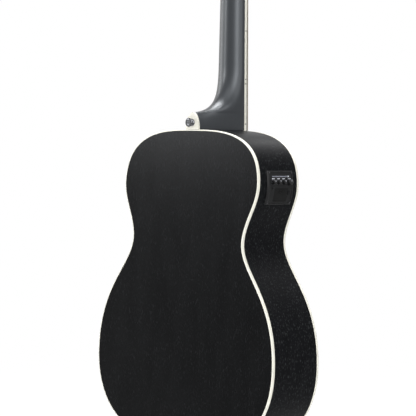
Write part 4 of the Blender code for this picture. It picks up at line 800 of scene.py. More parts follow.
def cross_head(work, matrix, radius, height):
    """A screw's head with a cross recess, its top at a height: four raised quarters over a sunk floor."""
    floor, slit, rim = height - RECESS_DEPTH, radius * SLIT, radius * 0.9
    disc = [(0, floor), (rim, floor), (rim, floor - RECESS_DEPTH), (0, floor - RECESS_DEPTH)]
    add_turned(work, matrix, disc, 24)
    start = math.asin(slit / radius)
    turns = sweep(start, math.pi / 2 - start, 8)
    low = [(slit, slit)] + [(radius * math.cos(t), radius * math.sin(t)) for t in turns]
    for quarter in range(4):
        turn = matrix @ Matrix.Rotation(math.pi / 2 * quarter, 4, "Z")
        ends = (floor - RECESS_DEPTH / 2, height)
        add_rings(work, [[turn @ Vector((x, y, z)) for x, y in low] for z in ends])


def screw_set(name, frames, radius, height, *finish, **how):
    """The heads of a set of screws, as one piece."""

    def fill(work):
        for matrix in frames:
            cross_head(work, matrix, radius, height)

    piece(name, fill, *finish, **how)


def strap_pin():
    where = along((0, NECK_END_DEPTH + GAP, JOINT_Z + STRAP_RISE), (0, 1, 0))
    r, h = STRAP_R, STRAP_H
    profile = [(0, h - 0.0007), (r * 0.50, h - 0.0007), (r * 0.54, h - 0.0001)]
    shares = (
        (0.62, 1), (0.78, 0.985), (0.94, 0.94), (1, 0.88), (1, 0.80), (0.86, 0.70), (0.56, 0.58),
        (0.48, 0.42), (0.50, 0.24), (0.62, 0.12), (0.80, 0.04), (0.80, 0), (0, 0),
    )
    profile += [(r * across, h * up) for across, up in shares]
    # The strap pin takes the darkened chrome: its dark look is a painted reflection.
    turned("strap_pin", where, profile, CHROME_PAINTED_DARK_REFLECTION, "chrome", "strap_button", steps=64)
    screw_set("strap_pin_screw", [where], r * 0.47, h - 0.0004, CHROME, "plain_steel")


piece("neck_shaft_and_heel", add_shaft, NECK_BLACK, "neck_black", "neck", sharp=80)
plate(
    "headstock_plate", [head_outline()], HEAD_T - 0.00004, HEAD_FRAME @ plate_frame(HEAD_T / 2),
    NECK_BLACK, "neck_black", bevel=0.0014, segments=4,
)
heel_cap_piece()
strap_pin()


# ---------------------------------------------------------------- fretboard and nut
def crown(x):
    return x**2 / (2 * FRETBOARD_R)


def board_ring(z, inset):
    half = neck_half(z) - inset
    across = [(x, crown(x) - FRETBOARD_T, z) for x in sweep(half, -half, 16)]
    return [(-half, -GAP, z), (half, -GAP, z), *across]


def fret_wires(work):
    sunk = 0.0002
    shape = [(math.cos(t) * FRET_W / 2, math.sin(t) * (FRET_H + sunk)) for t in sweep(0, math.pi, 8)]
    for number in range(1, FRET_COUNT + 1):
        z = fret_z(number)
        half = neck_half(z) - NECK_BINDING_T * 0.35
        rings = []
        for x in sweep(-half, half, 12):
            fall = 0.45 if abs(x) > half * 0.999 else 1.0
            foot = crown(x) + sunk - FRETBOARD_T
            ring = [(x, foot - fall * high, z + over) for over, high in shape]
            rings.append(ring + [(x, foot, z - FRET_W / 2), (x, foot, z + FRET_W / 2)])
        add_rings(work, rings)


def dot_places(apart):
    """The middle of each fret space that is marked, with the shift of its one or two dots."""
    for number in DOT_FRETS:
        z = (fret_z(number) + fret_z(number - 1)) / 2
        for shift in (-apart, apart) if number == TWO_DOTS else (0.0,):
            yield shift, z


def add_dot(work, spot, direction, radius, low, high, steps):
    """A round inlay, its face domed by a hair."""
    profile = [(0, low), (radius, low), (radius, high), (0, high + 0.00002)]
    add_turned(work, along(spot, direction), profile, steps)


def face_dots(work):
    for x, z in dot_places(FACE_DOTS_APART):
        top = FRETBOARD_T - crown(x)
        add_dot(work, (x, 0, z), (0, -1, 0), FACE_DOT_R, top - 0.0004, top + 0.00004, 28)


def edge_dots(work):
    for shift, z in dot_places(EDGE_DOTS_APART):
        spot = (0.0004 - neck_half(z + shift), -FRETBOARD_T * 0.46, z + shift)
        add_dot(work, spot, (-1, 0, 0), EDGE_DOT_R, 0, 0.00044, 20)


def fretboard_binding():
    """The ivory strip down both edges of the fretboard and across its end, its top corner rounded."""
    r, t = 0.0007, NECK_BINDING_T

    def section(x, z, in_x, in_z):
        top = FRETBOARD_T - crown(x)
        spots = [(0.0, GAP), (0.0, top - r), (r * 0.3, top - r * 0.3), (r, top), (t, top), (t, GAP)]
        return [(x + in_x * a, -h, z + in_z * a) for a, h in spots]

    run = sweep(-GAP, BOARD_END_Z, 40)
    mitre, end = run[-1], neck_half(BOARD_END_Z)
    rings = [section(neck_half(z), z, -1, z == mitre) for z in run]
    rings += [section(x, BOARD_END_Z, 0, 1) for x in sweep(end, -end, 12)[1:-1]]
    rings += [section(-neck_half(z), z, 1, z == mitre) for z in run[::-1]]
    loft("fretboard_edge_binding", rings, IVORY, "ivory_plastic", "fretboard_binding", sharp=40)


def carried(node, material, slot, bevel=0.0):
    """A piece with a frame node's own shape, its edges eased."""
    mesh = NODES[node].data.copy()
    obj = put(node + "_eased", mesh)
    work = bmesh.new()
    work.from_mesh(mesh)
    bmesh.ops.remove_doubles(work, verts=work.verts, dist=0.000002)
    bmesh.ops.dissolve_limit(work, angle_limit=math.radians(1), verts=work.verts, edges=work.edges)
    settle(work, mesh, 30)
    if bevel:
        soften(obj, bevel, 3, 35)
    dress(obj, material, slot, node, body=NODES[node]["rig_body"])


BOARD_INSET = NECK_BINDING_T + GAP / 2
BOARD_STOPS = (-GAP, JOINT_Z / 2, JOINT_Z, BOARD_END_Z + BOARD_INSET)
loft(
    "fretboard_plain", [board_ring(z, BOARD_INSET) for z in BOARD_STOPS],
    FRETWOOD, "dark_fretwood", "fretboard", sharp=30,
)
piece("fret_wires", fret_wires, STEEL, "plain_steel", sharp=50)
piece("position_dots", face_dots, PEARL, "ivory_plastic")
fretboard_binding()
piece("side_dots", edge_dots, DOT_BLACK, "black_plastic")
carried("nut", BONE, "bone", 0.0002)


# ---------------------------------------------------------------- strings
WRAP_TURNS, WRAP_STEPS, WRAP_START = 2, 28, 0.0060
BALL_R, BALL_H, WINDING_SHARE = 0.0029, 0.0044, 0.976
BOARD_UNDERSIDE, BRIDGE_TOP = BOARD_T + GAP, GAP + BRIDGE_H
STRING_AT_SADDLE, FRET_TOP = 0.0132, FRETBOARD_T + FRET_H
STRING_BEND = 0.0011


def spread(name, width):
    return width * (NAMES.index(name) / (len(NAMES) - 1) - 0.5)


def saddle_z(x):
    return SADDLE_Z + x * math.tan(SADDLE_SLANT)


def pin_z(x):
    return saddle_z(x) - PIN_SETBACK


def post_place(name):
    x, rise = LOWER_POSTS if name in ("e", "g") else UPPER_POSTS
    return (-x if name in ("e", "a") else x), rise


def string_route(name):
    """A string's centre line, from the ball under the board to the last turn on the post, and its radius."""
    radius = DIAMETERS[name] / 2
    near, far = spread(name, SPREAD_SADDLE), spread(name, SPREAD_NUT)
    hole = pin_z(near) + PIN_HEAD_R + 0.0012 + radius
    ball = BOARD_UNDERSIDE + 0.0030 + GAP + 0.0004
    over_bridge = BRIDGE_TOP + radius + GAP
    over_saddle = STRING_AT_SADDLE - crown(near) + radius
    saddle_back = saddle_z(near) - SADDLE_T / 2
    slope = math.atan2(over_saddle - over_bridge, saddle_back - hole)
    saddle_back -= (radius + GAP) * math.tan(slope / 2)
    over_nut = FRET_TOP + 0.0006 - crown(far) + radius
    points = [(near, ball, hole), (near, ball - 0.0003, hole), (near, -over_bridge, hole)]
    points += [(near, -over_saddle, saddle_back), (far, -over_nut, NUT_T + 0.0002)]
    leave = HEAD_FRAME.inverted() @ Vector(points[-1])
    x, rise = post_place(name)
    side = 1 if x < 0 else -1
    reach = POST_WAIST + radius + GAP / 2
    away = Vector((leave.x - x, leave.z - rise))
    first = math.atan2(away.y, away.x) + side * math.acos(reach / away.length)
    for wound in sweep(0, WRAP_TURNS, WRAP_TURNS * WRAP_STEPS):
        turn, depth = first + side * 2 * math.pi * wound, -WRAP_START - (2 * radius + GAP) * wound
        spot = Vector((x + reach * math.cos(turn), depth, rise + reach * math.sin(turn)))
        points.append(HEAD_FRAME @ spot)
    return [Vector(point) for point in points], radius


def eased(points):
    """The same route with its sharp bends rounded."""
    out = [points[0]]
    for a, b, c in zip(points, points[1:], points[2:]):
        straight = (b - a).angle(c - b) < math.radians(1.5) or min((b - a).length, (c - b).length) < 0.0016
        out += [b] if straight else bend(a, b, c, STRING_BEND, 0.4)
    return out + [points[-1]]


def string_piece(name):
    route, radius = string_route(name)
    points = eased(route)
    ball = rounded([(0, -0.0001), (BALL_R, -0.0001), (BALL_R, BALL_H), (0, BALL_H)], 0.0008)

    def fill(work):
        add_tube(work, points, radius * WINDING_SHARE, 14)
        add_turned(work, along(points[0], (0, 1, 0)), ball, 24)

    piece(f"string_{name}_wound", fill, BRONZE, "string_bronze", f"string_{name}", sharp=45)


for NAME in NAMES:
    string_piece(NAME)


# ---------------------------------------------------------------- bridge
def bridge_pin(name):
    """A round-headed pin with a pearl dot."""
    x, base = spread(name, SPREAD_SADDLE), BRIDGE_TOP + GAP
    top, tip = base + PIN_HEAD_H, base - PIN_LENGTH
    where = along((x, 0, pin_z(x)), (0, -1, 0))
    shares = [(math.sin(t) * 0.999, 0.42 + 0.58 * math.cos(t)) for t in sweep(0, math.pi / 2, 8)[1:]]
    head = [(PIN_HEAD_R * out, base + PIN_HEAD_H * up) for out, up in [*shares, (0.97, 0.24), (0.80, 0)]]
    shank = [(PIN_R, base - 0.0004), (0.0022, tip + 0.0006), (0.0012, tip), (0, tip)]
    profile = [(0, top), *head, *shank]
    turned(f"pin_{name}_black", where, profile, PLASTIC, "black_plastic", f"bridge_pin_{name}", steps=40)
    dot = [(0, top - 0.0001), (PIN_DOT_R, top - 0.0004), (PIN_DOT_R, top - 0.00012), (0, top + 0.00001)]
    turned(f"pin_{name}_dot", where, dot, PEARL, "bone", steps=24)


carried("bridge", FRETWOOD_ACROSS, "dark_fretwood", 0.0008)
carried("saddle", BONE, "bone", 0.0003)
for NAME in NAMES:
    bridge_pin(NAME)


# ---------------------------------------------------------------- tuning machines
PLATE_DEPTH = HEAD_T + GAP
TUNER_T = 0.0016
WHEEL_DEPTH = PLATE_DEPTH + TUNER_T + GAP
WORM_DEPTH = WHEEL_DEPTH + WHEEL_T / 2
WORM_Z = -(WHEEL_R + WORM_R + GAP)
EAR_T, EAR_HALF, WORM_HALF, EAR_ROOM, SHAFT_R = 0.0028, 0.0042, 0.0046, 0.0006, 0.0020
EAR_SHARE, EAR_SHIFT = 0.76, 0.0005
KEY_REACH, BLADE_R, BLADE_T, BLADE_STRETCH, BLADE_THINNING = 0.0160, 0.0110, 0.0034, 1.15, 0.0013
BASE_HALF, BASE_MARGIN, BASE_ROUND = 0.0125, 0.0020, 0.0045
BASE_SCREW_ACROSS, BASE_SCREW_IN, BASE_SCREW_R, BASE_SCREW_H = 0.0092, 0.0035, 0.0019, 0.0008
TOOTH_HALF, TOOTH_FLAT, TOOTH_HOLLOW, WHEEL_TWIST = 0.00055, 1.6, 0.0012, 0.16
ROD_COVER_T, ROD_SCREWS = 0.0018, ((-0.0078, 0.0042), (0.0078, 0.0042), (0.0, 0.0285))


def within(value):
    return max(-1.0, min(1.0, value))


def tuner_plate(name, here):
    """The base plate with its four screws, and the two lugs that carry the worm."""
    low, high, edge = WORM_Z - EAR_HALF - BASE_MARGIN, WHEEL_R + BASE_MARGIN, BASE_HALF
    middle = PLATE_DEPTH + TUNER_T / 2
    outline = rounded_loop([(-edge, low), (edge, low), (edge, high), (-edge, high)], BASE_ROUND, 8)
    outlines = [outline, circle(POST_R + GAP, points=40)]
    finish = (CHROME, "chrome", f"tuner_plate_{name}")
    plate(f"tuner_base_{name}", outlines, TUNER_T, here @ plate_frame(middle), *finish, bevel=0.0003)
    half, shift = EAR_HALF * EAR_SHARE, WORM_Z - EAR_SHIFT
    turns = sweep(0, math.pi, 12)
    arch = [(shift + half * math.cos(t), WORM_DEPTH + EAR_HALF * math.sin(t)) for t in turns]
    shape = [(shift + half, middle), *arch, (shift - half, middle)]

    def ears(work):
        for side in (-1, 1):
            centre = side * (WORM_HALF + EAR_ROOM + EAR_T / 2)
            ends = (centre - EAR_T / 2, centre + EAR_T / 2)
            add_rings(work, [[here @ Vector((x, depth, z)) for z, depth in shape] for x in ends])

    piece(f"tuner_ears_{name}", ears, CHROME, "chrome", bevel=0.00035)
    across, levels = BASE_SCREW_ACROSS, (high - BASE_SCREW_IN, low + BASE_SCREW_IN)
    spots = [(x, PLATE_DEPTH + TUNER_T, z) for x in (-across, across) for z in levels]
    frames = [here @ along(spot, (0, 1, 0)) for spot in spots]
    screw_set(f"tuner_screws_{name}", frames, BASE_SCREW_R, BASE_SCREW_H, STEEL, "plain_steel")


def tuner_post(name, here):
    """The ferrule in the headstock's face, and the post with its brass wheel behind."""
    post, body = here @ FACE_DOWN, f"tuner_post_{name}"
    bore, top, edge = POST_R + 0.0005, POST_H, 0.0008
    ferrule = [(0.0078, 0.0002), (0.0080, 0.0008), (0.0074, 0.0016), (0.0066, 0.0021)]
    ferrule = [(bore, 0.0002), *ferrule, (bore, 0.0021), (bore, 0.0002)]
    turned(f"tuner_ferrule_{name}", post, ferrule, CHROME, "chrome")
    stem = [(0, top - 0.0006), (0.0016, top - 0.0006), (0.0018, top), (POST_R * 0.86, top)]
    stem += [(POST_R, top - edge), (POST_R, top - 3 * edge), (POST_WAIST, top - 4.2 * edge)]
    stem += [(POST_WAIST, WRAP_START - 2 * edge), (POST_R, WRAP_START - 3 * edge)]
    stem += [(POST_R, -WHEEL_DEPTH - 0.0001), (0, -WHEEL_DEPTH - 0.0001)]
    turned(f"tuner_stem_{name}", post, stem, CHROME, "chrome", body, body=body)
    middle = here @ plate_frame(WHEEL_DEPTH + WHEEL_T / 2)

    def toothed(share):
        root = WHEEL_R - TOOTH_HOLLOW * (1 - abs(share))

        def tooth_at(turn):
            return root - TOOTH_HALF * within(TOOTH_FLAT * math.cos(WHEEL_TEETH * turn))

        return ring_about(middle, tooth_at, share * WHEEL_T, 8 * WHEEL_TEETH, twist=share * WHEEL_TWIST)

    def wheel(work):
        add_rings(work, [toothed(share) for share in sweep(-0.5, 0.5, 4)])
        back = -(WHEEL_DEPTH + WHEEL_T)
        screw = [(0, back), (0.0040, back), (0.0036, back - 0.0018), (0.0016, back - 0.0018)]
        add_turned(work, post, screw + [(0.0014, back - 0.0012), (0, back - 0.0012)], 32)

    piece(f"tuner_gear_{name}", wheel, BRASS, "pickup_brass", body=body)


def tuner_key(name, here, side, reach):
    """The worm on its shaft, and the four-lobed blade on the shaft's end."""
    key = here @ along((0, WORM_DEPTH, WORM_Z), (side, 0, 0))
    inner, start, body = -(WORM_HALF + EAR_ROOM + EAR_T), reach - BLADE_R, f"tuner_key_{name}"
    pitch = 2 * math.pi * (WHEEL_R - 0.0006) / WHEEL_TEETH / 1.35

    def thread_at(turn, height):
        wave, fade = math.cos(2 * math.pi * height / pitch - turn), (WORM_HALF - abs(height)) / 0.0008
        return SHAFT_R + (0.0001 + 0.0009 * (0.5 + 0.5 * within(1.5 * wave))) * min(1.0, fade)

    def shaft(work):
        profile = [(0, start + 0.0034), (0.0030, start + 0.0030), (0.0034, start - 0.0006)]
        profile += [(0.0031, start - 0.0014), (0.0026, start - 0.0022), (SHAFT_R, start - 0.0034)]
        profile += [(SHAFT_R, WORM_HALF + 0.0002), (SHAFT_R, -WORM_HALF - 0.0002)]
        add_turned(work, key, [*profile, (SHAFT_R, inner), (0, inner)], 36)
        heights = sweep(-WORM_HALF, WORM_HALF, 64)
        add_rings(work, [ring_about(key, lambda turn: thread_at(turn, h), h, 28) for h in heights])

    def lobed(lean):
        centre = here @ Matrix.Translation((side * reach, 0, WORM_Z)) @ plate_frame(WORM_DEPTH)
        less = BLADE_THINNING * (1 - max(0.0, math.cos(lean)) ** 0.5)

        def lobe_at(turn):
            return BLADE_R * (0.88 + 0.12 * math.cos(4 * turn)) - less

        return ring_about(centre, lobe_at, math.sin(lean) * BLADE_T / 2, 72, stretch=BLADE_STRETCH)

    def blade(work):
        add_rings(work, [lobed(lean) for lean in sweep(-math.pi / 2, math.pi / 2, 8)])

    piece(f"tuner_worm_{name}", shaft, CHROME, "chrome", body, body=body, sharp=60)
    piece(f"tuner_blade_{name}", blade, CHROME, "chrome", body=body, sharp=50)


def rod_cover():
    wide, length, thick = 0.0112, 0.0330, ROD_COVER_T
    slim, start = wide * 0.54, length * 0.85
    points = [(wide, GAP), (slim, start), (0, length)]
    handles = [((wide, length * 0.39), (slim, length * 0.45)), ((slim, length * 0.97), (slim / 2, length))]
    right = chain(points, handles, 14)
    outline = right + [(-x, y) for x, y in right[-2::-1]]
    where = HEAD_FRAME @ plate_frame(-GAP - thick / 2)
    finish = (PLASTIC, "black_plastic", "truss_rod_cover")
    plate("rod_cover_black", [outline], thick, where, *finish, bevel=0.0004)
    ring = [(x * 0.86, 0.0016 + (y - 0.0016) * 0.93) for x, y in outline]
    inner = [(x * 0.80, 0.0024 + (y - 0.0024) * 0.89) for x, y in outline]
    where = HEAD_FRAME @ plate_frame(-GAP - thick)
    plate("rod_cover_line", [ring, inner], 0.0001, where, IVORY, "ivory_plastic")
    frames = [HEAD_FRAME @ along((x, -GAP - thick, z), (0, -1, 0)) for x, z in ROD_SCREWS]
    screw_set("rod_cover_screws", frames, 0.0015, 0.0006, STEEL, "plain_steel")


for NAME in NAMES:
    ACROSS, RISE = post_place(NAME)
    HERE = HEAD_FRAME @ Matrix.Translation((ACROSS, 0, RISE))
    tuner_plate(NAME, HERE)
    tuner_post(NAME, HERE)
    tuner_key(NAME, HERE, -1 if ACROSS < 0 else 1, HEAD_HALF + KEY_REACH - abs(ACROSS))
rod_cover()


# ---------------------------------------------------------------- preamp
PREAMP_TOP = JOINT_Z - PREAMP_DROP
LAMP_DROP, READY_LAMP, FIRST_LAMP, LAMP_PITCH, TICK_DROP = 0.0086, 0.0101, 0.0138, 0.0028, 0.0119
FLUTES, TICK_AWAY, TICK_STEP = 18, 0.0009, 45
PRINT_SUNK, PRINT_T = 0.0001, 0.00006
PANEL_SCREW_R, PANEL_SCREW_H = 0.0014, 0.0011
RIDGE_W, RIDGE_PITCH, RIDGE_SUNK = 0.0006, 0.0013, 0.0002
FACE = GAP + PANEL_T
BACKWARDS = Vector((0, 1, 0))


def skin_point(drop, behind, out):
    """A place on the bass side beside the panel: out is how far it stands off the side."""
    z = PREAMP_TOP - drop
    point, _ = outline_at(place_at_z(z, -out), -out)
    return Vector((-point.x, PREAMP_FRONT + behind, z))


def panel_frame(behind, drop):
    """On the panel's face: +Z outwards, +Y towards the back of the instrument."""
    _, inwards = outline_at(place_at_z(PREAMP_TOP - drop, -FACE))
    outwards = Vector((inwards.x, 0, -inwards.y)).normalized()
    axes = Matrix((BACKWARDS.cross(outwards), BACKWARDS, outwards)).transposed().to_4x4()
    return Matrix.Translation(skin_point(drop, behind, FACE)) @ axes


def add_skin(work, drops, behinds, outs, steps, lean=0.0):
    """A curved slab along the side, between two drops, depths and stand-offs; its far edge can lean in."""
    (near, far), (low, high) = behinds, outs
    corners = ((near, low), (far, low), (far - lean, high), (near, high))
    add_rings(work, [[skin_point(drop, b, o) for b, o in corners] for drop in sweep(*drops, steps)])


def skin_piece(name, slabs, *finish, **how):
    """One piece from curved slabs, each with add_skin's own values."""

    def fill(work):
        for slab in slabs:
            add_skin(work, *slab)

    piece(name, fill, *finish, **how)


def panel_pieces():
    edge, thick = PREAMP_W - 0.0040, (GAP, FACE)
    top, low = DOOR_DROP - GAP, DOOR_DROP + DOOR_H + GAP
    front, back = DOOR_INSET - GAP, DOOR_INSET + DOOR_W + GAP
    around_door = (
        ((0, top), (0, edge), thick, 14), ((top, low), (0, front), thick, 14),
        ((top, low), (back, edge), thick, 14), ((low, PREAMP_H), (0, edge), thick, 4),
    )
    skin_piece("panel_plate", around_door, PLASTIC, "black_plastic", "preamp_panel")
    rim, across, proud = 0.00132, (0, PREAMP_W - 0.0030), (GAP, FACE + 0.0007)
    rims = (
        ((0, PREAMP_H), (PREAMP_W - 0.0052, PREAMP_W), (GAP, FACE + 0.0006), 20, 0.0022),
        ((0, PREAMP_H), (0, rim), proud, 20), ((0, rim), across, proud, 3),
        ((PREAMP_H - rim, PREAMP_H), across, proud, 3),
    )
    skin_piece("panel_bezel", rims, BEZEL, "black_plastic", bevel=0.0004)
    window = ((0.0070, 0.0098), (0.0050, 0.0470), (FACE - 0.0001, FACE + 0.0002), 2)
    skin_piece("panel_lamp_window", [window], WINDOW, "black_plastic")
    lens = [(0, 0.0001), (0.0011, 0.0001), (0.0010, 0.0004), (0.0006, 0.0006), (0, 0.0007)]

    def lamps(work):
        for i in range(12):
            add_turned(work, panel_frame(FIRST_LAMP + LAMP_PITCH * i, LAMP_DROP), lens, 20)

    piece("panel_lamps", lamps, LENS, "knob_plastic")
    lens = [(0, 0.0001), (0.0012, 0.0001), (0.0011, 0.0005), (0.0006, 0.0007), (0, 0.0008)]
    turned("panel_ready_lamp", panel_frame(READY_LAMP, LAMP_DROP), lens, PALE, "knob_plastic", steps=24)

    def ticks(work):
        for name, behind in KNOB_PLACES.items():
            word = panel_frame(behind, TICK_DROP)
            add_box(work, (-0.00055, -0.0031, -PRINT_SUNK), (0.00055, 0.0031, PRINT_T), word)
            reach = knob_radius(name) + TICK_AWAY
            low, high = (reach - 0.0003, -0.00012, -PRINT_SUNK), (reach + 0.0003, 0.00012, PRINT_T)
            for turn in range(-KNOB_SWEEP, KNOB_SWEEP + 1, TICK_STEP):
                spot = panel_frame(behind, KNOB_DROP) @ Matrix.Rotation(math.radians(turn), 4, "Z")
                add_box(work, low, high, spot)

    piece("panel_tick_marks", ticks, PALE, "ivory_plastic")
    corners = [(b, d) for b in (0.0028, PREAMP_W - 0.0038) for d in (0.0028, PREAMP_H - 0.0028)]
    frames = [panel_frame(*corner) for corner in corners]
    screw_set("panel_screws", frames, PANEL_SCREW_R, PANEL_SCREW_H, DARK_STEEL, "plain_steel")


def door_pieces():
    """The battery door, the ridges that a finger pulls it by, and the latch ridges beside it."""
    door = ((DOOR_DROP, DOOR_DROP + DOOR_H), (DOOR_INSET, DOOR_INSET + DOOR_W), (GAP, FACE), 14)
    finish = (DOOR, "black_plastic", "battery_door")
    skin_piece("door_leaf", [door], *finish, body="battery_door", bevel=0.0003)
    starts = [DOOR_DROP + 0.0022 + RIDGE_PITCH * i for i in range(5)]
    across, proud = (DOOR_INSET + 0.0095, DOOR_INSET + DOOR_W - 0.0095), (FACE - RIDGE_SUNK, FACE + 0.0004)
    ridges = [((start, start + RIDGE_W), across, proud, 1) for start in starts]
    low, across = DOOR_DROP + DOOR_H, (DOOR_INSET + 0.002, DOOR_INSET + DOOR_W - 0.002)
    ridges.append(((low - 0.0022, low - 0.0012), across, (FACE - RIDGE_SUNK, FACE + 0.0003), 1))
    skin_piece("door_grip_ridges", ridges, DOOR, "black_plastic", body="battery_door")
    starts, proud = [0.0062 + RIDGE_PITCH * i for i in range(3)], (FACE - RIDGE_SUNK, FACE + 0.0006)
    ridges = [((0.0300, 0.0362), (start, start + RIDGE_W), proud, 3) for start in starts]
    skin_piece("panel_latch_ridges", ridges, BEZEL, "black_plastic")


def knob_radius(name):
    return LARGE_KNOB_R if name == "volume_knob" else SMALL_KNOB_R


def knob_pieces(name, where):
    """A knob with a fluted skirt, a dished top and a pale pointer."""
    radius = knob_radius(name)
    levels = (
        (1.0, 0.12, 1), (0.95, 0.80, 1), (0.92, 0.90, 0.5), (0.86, 0.97, 0.1), (0.80, 1.0, 0),
        (0.40, 0.985, 0), (0.02, 0.98, 0),
    )
    profile = [(0.55, -PANEL_T * 0.2, 0), (0.98, GAP, 0.3)]
    profile += [(share, KNOB_H * up, fluted) for share, up, fluted in levels]

    def level(share, height, fluted):
        def skirt_at(turn):
            return radius * share * (1 - 0.035 * fluted * (0.5 + 0.5 * math.cos(FLUTES * turn)))

        return ring_about(where, skirt_at, height, 72)

    def fill(work):
        add_rings(work, [level(*row) for row in profile])

    def pointer(work):
        low, high = (radius * 0.25, -0.00022, KNOB_H - PRINT_SUNK), (radius * 0.84, 0.00022, KNOB_H + PRINT_T)
        add_box(work, low, high, where)

    piece(name + "_fluted", fill, KNOB, "knob_plastic", name, body=name, sharp=40)
    piece(name + "_pointer", pointer, PALE, "ivory_plastic", body=name)


def tune_button():
    half = BUTTON_R * 0.96
    profile = rounded([(0, BUTTON_RISE), (half, BUTTON_RISE), (half, -PANEL_T), (0, -PANEL_T)], 0.0004)
    finish = (BEZEL, "knob_plastic", "tune_button")
    turned("button_cap", panel_frame(*BUTTON_PLACE), profile, *finish, steps=32, body="tune_button")


panel_pieces()
door_pieces()
for NAME, BEHIND in KNOB_PLACES.items():
    knob_pieces(NAME, panel_frame(BEHIND, KNOB_DROP))
tune_button()


# ---------------------------------------------------------------- output jack
def output_jack():
    r, h, bore, inner = STRAP_R, JACK_H, JACK_BORE_R, 0.0030 - JACK_LENGTH
    profile = [(0, inner), (bore, inner), (bore, h - 0.0004), (bore + 0.0004, h)]
    shares = (
        (0.86, 1), (0.98, 0.97), (1, 0.92), (1, 0.82), (0.90, 0.70), (0.72, 0.58), (0.70, 0.40),
        (0.76, 0.26), (0.80, 0.19), (1.18, 0.18), (1.25, 0.14),
    )
    profile += [(r * across, h * up) for across, up in shares]
    profile += [(r * 1.25, GAP), (JACK_R, GAP), (JACK_R, -JACK_LENGTH), (0, -JACK_LENGTH)]
    where = along((0, back_depth(0, TAIL_Z) / 2, TAIL_Z), (0, 0, -1))
    turned("jack_barrel", where, profile, CHROME, "chrome", "output_jack", steps=64, sharp=32)


output_jack()


# ---------------------------------------------------------------- the frame's own inner pieces
for NODE in ("x_brace", "upper_transverse_brace", "tone_bar", *(f"back_brace_{i}" for i in (1, 2, 3, 4))):
    carried(NODE, SPRUCE, "brace_spruce", 0.0008)
for NODE in ("neck_block", "tail_block", "bridge_plate"):
    carried(NODE, MAHOGANY, "inner_mahogany", 0.0006)
carried("undersaddle_pickup", BRASS, "pickup_brass", 0.0002)
carried("truss_rod", STEEL, "plain_steel", 0.0003)
carried("preamp_housing", INNER, "inner_plastic", 0.0004)
carried("battery", JACKET, "battery_jacket", 0.0010)

LINING_T, LINING_H, KERF_PITCH = 0.0060, 0.0120, 0.0062
KERF_BLOCK = ((0, 1.0), (1, 0.42), (1, 0.0), (0, 0.0))
KERF_STRIP = ((0, 0.999), (0.16, 0.90), (0.16, 0.001), (0, 0.001))


def lining_piece(name, back, node):
    """A kerfed strip inside the rim: a line of small blocks parted by saw cuts, held by a thin strip."""
    inset, fine = SIDE_T + GAP, sweep(0.26, 4.0, 900)
    spots = [outline_at(p, inset)[0] for p in fine]
    run, marks = 0.0, [fine[0]]
    for p, one, two in zip(fine[1:], spots, spots[1:]):
        run += (two - one).length
        if run >= KERF_PITCH:
            marks.append(p)
            run = 0.0

    def ring(p, side, section):
        points = [(outline_at(p, inset + LINING_T * part)[0], LINING_H * tall) for part, tall in section]
        if back:
            return [(side * q.x, back_depth(q.x, q.y) - BACK_T - GAP - rise, q.y) for q, rise in points]
        return [(side * q.x, BOARD_UNDERSIDE + rise, q.y) for q, rise in points]

    def fill(work):
        for side in (1, -1):
            for a, b in zip(marks, marks[1:]):
                cut = (b - a) * 0.10
                add_rings(work, [ring(p, side, KERF_BLOCK) for p in (a + cut, b - cut)])
            add_rings(work, [ring(p, side, KERF_STRIP) for p in fine[::12]])

    piece(name, fill, MAHOGANY, "inner_mahogany", node)


lining_piece("front_kerfed_lining", False, "top_lining")
lining_piece("back_kerfed_lining", True, "back_lining")


# ---------------------------------------------------------------- room, light and camera
FLOOR_Z = TAIL_Z - JACK_H - 0.0008
FLOOR_HALF = 30.0
CAMERA_FORWARD = Vector((0.69744, -0.71571, -0.03653)).normalized()
CAMERA_RIGHT = Vector((-0.71572, -0.69822, 0.01533)).normalized()
CAMERA_UP = Vector((0.03648, -0.01545, 0.99921)).normalized()
CAMERA_AWAY, CAMERA_LENS = 2.78345, 154.1
AIM = Vector((0, 0.050, JOINT_Z - 0.12192))
# A lamp's name, its turn from the back towards the bass side, its rise, distance, size and glow.
LAMPS = (
    ("key_by_camera", 30, 12, 3.2, (1.2, 1.4), 7.8),
    ("wide_fill", 62, 12, 3.3, (1.6, 1.6), 2.4),
    ("high_by_camera", 18, 42, 3.2, (2.2, 1.5), 1.8),
    ("side_high", 100, 48, 3.0, (1.6, 1.0), 3.3),
    ("strip_behind", -82, 14, 2.4, (0.6, 1.5), 3.6),
    ("window_behind", -46, 12.0, 5.0, (1.2, 0.80), 18.5),
    ("overhead", -128, 80, 1.9, (1.15, 1.15), 17.0),
    ("front_fill", -168, 26, 3.2, (1.4, 1.2), 4.0),
)


def seen_directly(tree):
    """A node that gives 1 for a ray from the camera, a reflection or glass, and 0 for any other."""
    ray = add_node(tree, "LightPath")
    found, out = ray, "Is Camera Ray"
    for kind in ("Is Glossy Ray", "Is Transmission Ray"):
        either = add_node(tree, "Math")
        either.operation = "MAXIMUM"
        link(tree, found, out, either, 0)
        link(tree, ray, kind, either, 1)
        found, out = either, 0
    return found


def blend(tree, share, one, one_out, two, two_out, end):
    """Mixes two shaders by a share into the tree's output node."""
    mix = add_node(tree, "MixShader")
    link(tree, share, 0, mix, 0)
    link(tree, one, one_out, mix, 1)
    link(tree, two, two_out, mix, 2)
    link(tree, mix, "Shader", tree.nodes[end], "Surface")


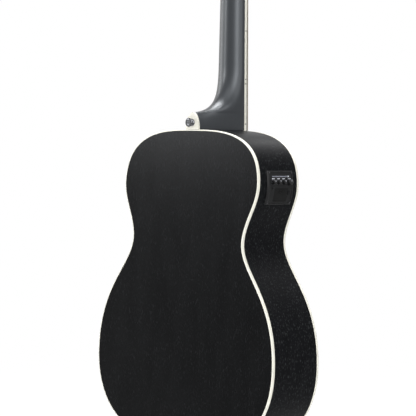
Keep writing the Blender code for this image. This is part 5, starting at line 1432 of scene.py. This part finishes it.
def floor():
    """A pale floor that looks white away from the object."""
    mesh = bpy.data.meshes.new("floor")
    far = FLOOR_HALF
    corners = [(-far, -far, FLOOR_Z), (far, -far, FLOOR_Z), (far, far, FLOOR_Z), (-far, far, FLOOR_Z)]
    mesh.from_pydata(corners, [], [(0, 1, 2, 3)])
    obj = put("floor", mesh)
    pale, tree, shader = plain_material("floor_pale", 0.85, specular=0.1)
    where = add_node(tree, "TexCoord")
    grain = add_node(tree, "TexNoise", Scale=3.0)
    link(tree, where, "Object", grain, "Vector")
    coloured(tree, shader, grain, [(0.3, (0.80, 0.80, 0.80)), (0.7, (0.83, 0.83, 0.83))])
    away = add_node(tree, "VectorMath")
    away.operation = "LENGTH"
    link(tree, where, "Object", away, "Vector")
    fade = add_node(tree, "MapRange", From_Min=0.5, From_Max=1.5, To_Min=0.62, To_Max=1.0)
    fade.interpolation_type = "SMOOTHSTEP"
    link(tree, away, "Value", fade, "Value")
    share = add_node(tree, "Math")
    share.operation = "MULTIPLY"
    link(tree, seen_directly(tree), 0, share, 0)
    link(tree, fade, "Result", share, 1)
    blend(tree, share, shader, "BSDF", add_node(tree, "Emission"), "Emission", "Material Output")
    mesh.materials.append(pale)


def world():
    """A dim white room that is seen as white."""
    studio = bpy.data.worlds.new("studio")
    bpy.context.scene.world = studio
    studio.use_nodes = True
    tree = studio.node_tree
    dim = tree.nodes["Background"]
    dim.inputs["Color"].default_value = (1, 1, 1, 1)
    dim.inputs["Strength"].default_value = 0.12
    white = add_node(tree, "Background", Color=(1, 1, 1, 1), Strength=1.0)
    blend(tree, seen_directly(tree), dim, "Background", white, "Background", "World Output")


def soft_light(name, turn, rise, distance, size, glow):
    """A soft box aimed at the neck joint."""
    light = bpy.data.lights.new(name, "AREA")
    light.shape = "RECTANGLE"
    light.size, light.size_y = size
    light.energy = glow * math.pi * size[0] * size[1]
    obj = put(name, light)
    turn, rise = math.radians(turn), math.radians(rise)
    toward = Vector((-math.sin(turn) * math.cos(rise), math.cos(turn) * math.cos(rise), math.sin(rise)))
    obj.location = Vector((0, 0.04, JOINT_Z)) + toward * distance
    obj.rotation_euler = toward.to_track_quat("Z", "Y").to_euler()


def camera_by_photo():
    camera = bpy.data.cameras.new("camera")
    camera.sensor_width = 36
    camera.lens = CAMERA_LENS
    camera.clip_end = 100
    obj = put("camera", camera)
    axes = Matrix((CAMERA_RIGHT, CAMERA_UP, -CAMERA_FORWARD)).transposed().to_4x4()
    obj.matrix_world = Matrix.Translation(AIM - CAMERA_FORWARD * CAMERA_AWAY) @ axes
    bpy.context.scene.camera = obj


floor()
world()
for LAMP in LAMPS:
    soft_light(*LAMP)
camera_by_photo()
bpy.context.scene.view_settings.view_transform = "Standard"
